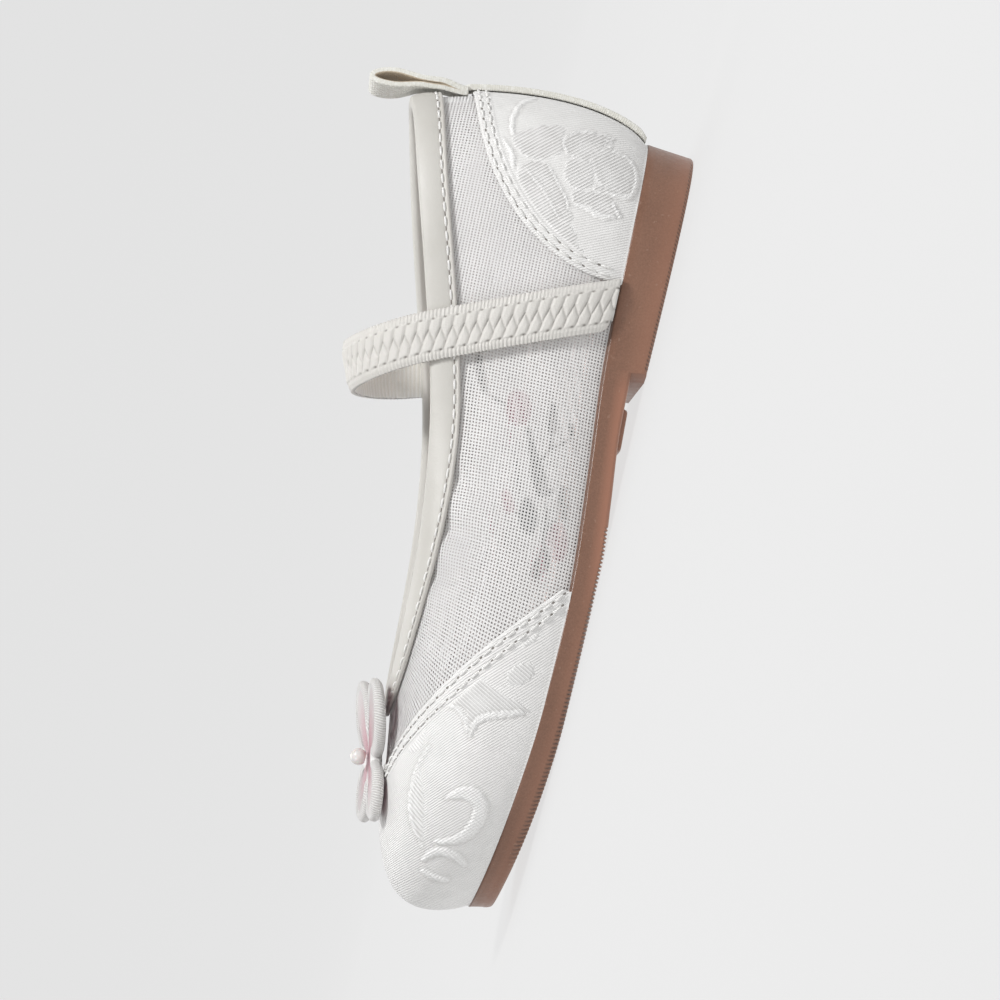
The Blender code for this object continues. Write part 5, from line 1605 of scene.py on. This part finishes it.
def fly_radius(angle):
    """Reach of the butterfly's edge from its middle, angle 0 to the toe and turning to the outer side."""
    radius = np.full_like(angle, FLY_WAIST)
    for side in (1.0, -1.0):
        radius = np.maximum(radius, lobe_reach(angle, side * FLY_LOBE_ANGLE_FRONT, FLY_FRONT_REACH))
        radius = np.maximum(radius, lobe_reach(angle, math.pi - side * FLY_LOBE_ANGLE_REAR, FLY_REAR_REACH))
    return radius


def fly_rise(x, y):
    """Height of the butterfly's under side above its middle: pitched, rolled and raised to its edges."""
    ahead = x - FLY_CENTRE_X
    return (np.abs(ahead) * math.tan(FLY_BEND) - ahead * math.tan(FLY_PITCH)
            + np.abs(y) * math.tan(FLY_DIHEDRAL) - y * math.tan(FLY_ROLL))


def fly_seat(samples=40):
    """Height of the butterfly's under side at its middle, clear of the cap and the binding."""
    phi = np.linspace(TIP_PHI - FLY_SEAT_SPAN, TIP_PHI + FLY_SEAT_SPAN, samples)
    phi, share = np.meshgrid(phi, np.linspace(FLY_SEAT_FROM, 1.0, samples))
    x, y, z = WALLS.at(phi.ravel(), share.ravel(), 2.0 * GAP + OVERLAY_THICK).T
    covered = np.hypot(x - FLY_CENTRE_X, y) < fly_radius(np.arctan2(y, x - FLY_CENTRE_X))
    return float((z - fly_rise(x, y))[covered].max())


FLY_SEAT = fly_seat()


def make_butterfly():
    """Stitched wings inside a round rim wrapped in thread, ring by ring from the top to the back."""
    angle = full_turn(FLY_AROUND)
    reach = fly_radius(angle)
    edge = np.column_stack([reach * np.cos(angle), reach * np.sin(angle)])
    run = running_length(np.vstack([edge, edge[:1]]))[:-1]
    along = unit(np.roll(edge, -3, axis=0) - np.roll(edge, 3, axis=0))
    inward = np.column_stack([-along[:, 1], along[:, 0]])
    field_angle = math.pi - math.asin(1.0 - FLY_FIELD_DROP / FLY_RIM_RADIUS)
    turns = np.linspace(field_angle, -0.5 * math.pi, FLY_RIM_STEPS)
    middle = 0.5 * FLY_THICK
    # Rings of inset, share of the way out, height and how much of the rim's thread they show
    rim = [(FLY_RIM_RADIUS * (1.0 - math.cos(turn)), 1.0, middle + FLY_RIM_RADIUS * math.sin(turn), 1.0)
           for turn in turns]
    field = [(rim[0][0], share, rim[0][2], 0.85 * float(smooth_step((share - 0.15) / 0.85)))
             for share in np.linspace(0.03, 0.99, FLY_FIELD_RINGS)]
    back = [(FLY_RIM_RADIUS, share, rim[-1][2], 0.0) for share in (0.97, 0.5, 0.03)]
    rings = []
    stitching = []
    for inset, share, height, wrapped in field + rim + back:
        x, y = ((edge + inward * inset) * share).T
        floats = 0.8 * x + 0.6 * np.abs(y)
        x = x + FLY_CENTRE_X
        rings.append(np.column_stack([x, y, FLY_SEAT + fly_rise(x, y) + height]))
        stitching.append(np.column_stack([run, np.full(FLY_AROUND, wrapped), floats]))
    points, faces = capped_tube(np.stack(rings))
    add_piece("butterfly_looks", points, faces, butterfly_finish(), "butterfly",
              {"stitching": np.concatenate(stitching)}, outward=True)


def make_pearl(rings=24, sides=40):
    """Bead with a small flat, glued to the middle of the butterfly."""
    clear = GAP + PEARL_FLAT * math.hypot(math.tan(FLY_PITCH), math.tan(FLY_ROLL))
    drop = math.sqrt(PEARL_RADIUS ** 2 - PEARL_FLAT ** 2)
    centre = np.array([FLY_CENTRE_X, 0.0, FLY_SEAT + FLY_THICK + clear + drop])
    tilts = np.linspace(-math.acos(PEARL_FLAT / PEARL_RADIUS), 0.498 * math.pi, rings)
    tilt, turn = np.meshgrid(tilts, full_turn(sides), indexing="ij")
    ball = np.stack([np.cos(tilt) * np.cos(turn), np.cos(tilt) * np.sin(turn), np.sin(tilt)], axis=-1)
    points, faces = capped_tube(centre + ball * PEARL_RADIUS)
    add_piece("pearl_looks", points, faces, pearl_finish(), "pearl", outward=True)


# Stage, light and camera

FLOOR_HALF = 3.0
SWEEP_FROM = -0.9
SWEEP_RADIUS = 0.8
PAPER_GLOW = 0.705
SKY_STRENGTH = 0.32
CAMERA_YAW = math.radians(6.0)
CAMERA_RISE = math.radians(2.2)
CAMERA_ROLL = math.radians(76.0)
CAMERA_DISTANCE = 1.22
CAMERA_LENS = 196.0
SENSOR = 36.0
AIM = (0.0, 0.0, 0.024)


def make_floor():
    """Pale floor that sweeps up into a backdrop behind the shoe."""
    profile = [(FLOOR_HALF, 0.0), (SWEEP_FROM, 0.0)]
    for turn in np.linspace(0.0, 0.5 * math.pi, 24)[1:]:
        profile.append((SWEEP_FROM - SWEEP_RADIUS * math.sin(turn), SWEEP_RADIUS * (1.0 - math.cos(turn))))
    profile.append((profile[-1][0], FLOOR_HALF))
    points = [(x, y, z) for y, z in profile for x in (-FLOOR_HALF, FLOOR_HALF)]
    mesh = bpy.data.meshes.new("floor")
    mesh.from_pydata(points, [], grid_quads(len(profile), 2).tolist())
    mesh.shade_smooth()
    paper = Finish("backdrop_paper", (0.06, 0.06, 0.06), 0.9, Emission_Color=(1.0, 1.0, 1.0, 1.0),
                   Emission_Strength=PAPER_GLOW)
    paper.use(Base_Color=paper.mix(paper.noise(3.0), (0.058, 0.058, 0.058), (0.062, 0.062, 0.062)))
    mesh.materials.append(paper.material)
    floor = bpy.data.objects.new("floor", mesh)
    bpy.context.scene.collection.objects.link(floor)


def add_light(name, place, size, power):
    """Soft square light aimed at the shoe."""
    data = bpy.data.lights.new(name, "AREA")
    data.size = size
    data.energy = power
    lamp = bpy.data.objects.new(name, data)
    lamp.location = place
    lamp.rotation_euler = (Vector(AIM) - Vector(place)).to_track_quat("-Z", "Y").to_euler()
    bpy.context.scene.collection.objects.link(lamp)


def make_light():
    """Even pale surroundings with three soft lights."""
    world = bpy.data.worlds.new("studio")
    world.use_nodes = True
    background = world.node_tree.nodes["Background"]
    background.inputs["Color"].default_value = (1.0, 1.0, 1.0, 1.0)
    background.inputs["Strength"].default_value = SKY_STRENGTH
    bpy.context.scene.world = world
    add_light("key", (-0.35, 0.7, 1.3), 0.35, 16.5)
    add_light("fill", (1.2, 1.1, 0.7), 0.8, 4.0)
    add_light("back", (0.2, -1.0, 1.2), 0.8, 3.0)
    bpy.context.scene.view_settings.view_transform = "Standard"


def make_camera():
    """View of the outer side, turned a little to the toe and rolled so that the toe hangs down."""
    data = bpy.data.cameras.new("camera")
    data.lens = CAMERA_LENS
    data.sensor_width = SENSOR
    camera = bpy.data.objects.new("camera", data)
    flat = math.cos(CAMERA_RISE)
    away = Vector((math.sin(CAMERA_YAW) * flat, math.cos(CAMERA_YAW) * flat, math.sin(CAMERA_RISE)))
    level = Vector((0.0, 0.0, 1.0)).cross(away).normalized()
    upright = away.cross(level)
    right = level * math.cos(CAMERA_ROLL) - upright * math.sin(CAMERA_ROLL)
    up = level * math.sin(CAMERA_ROLL) + upright * math.cos(CAMERA_ROLL)
    turn = Matrix((right, up, away)).transposed().to_4x4()
    camera.matrix_world = Matrix.Translation(Vector(AIM) + away * CAMERA_DISTANCE) @ turn
    bpy.context.scene.collection.objects.link(camera)
    bpy.context.scene.camera = camera


def main():
    make_outsole()
    make_insole()
    make_upper()
    make_overlays()
    make_binding()
    tape = tape_finish()
    make_back_tape(tape)
    make_pull_loop(tape)
    make_strap()
    make_butterfly()
    make_pearl()
    SEWING.build()
    make_floor()
    make_light()
    make_camera()


main()
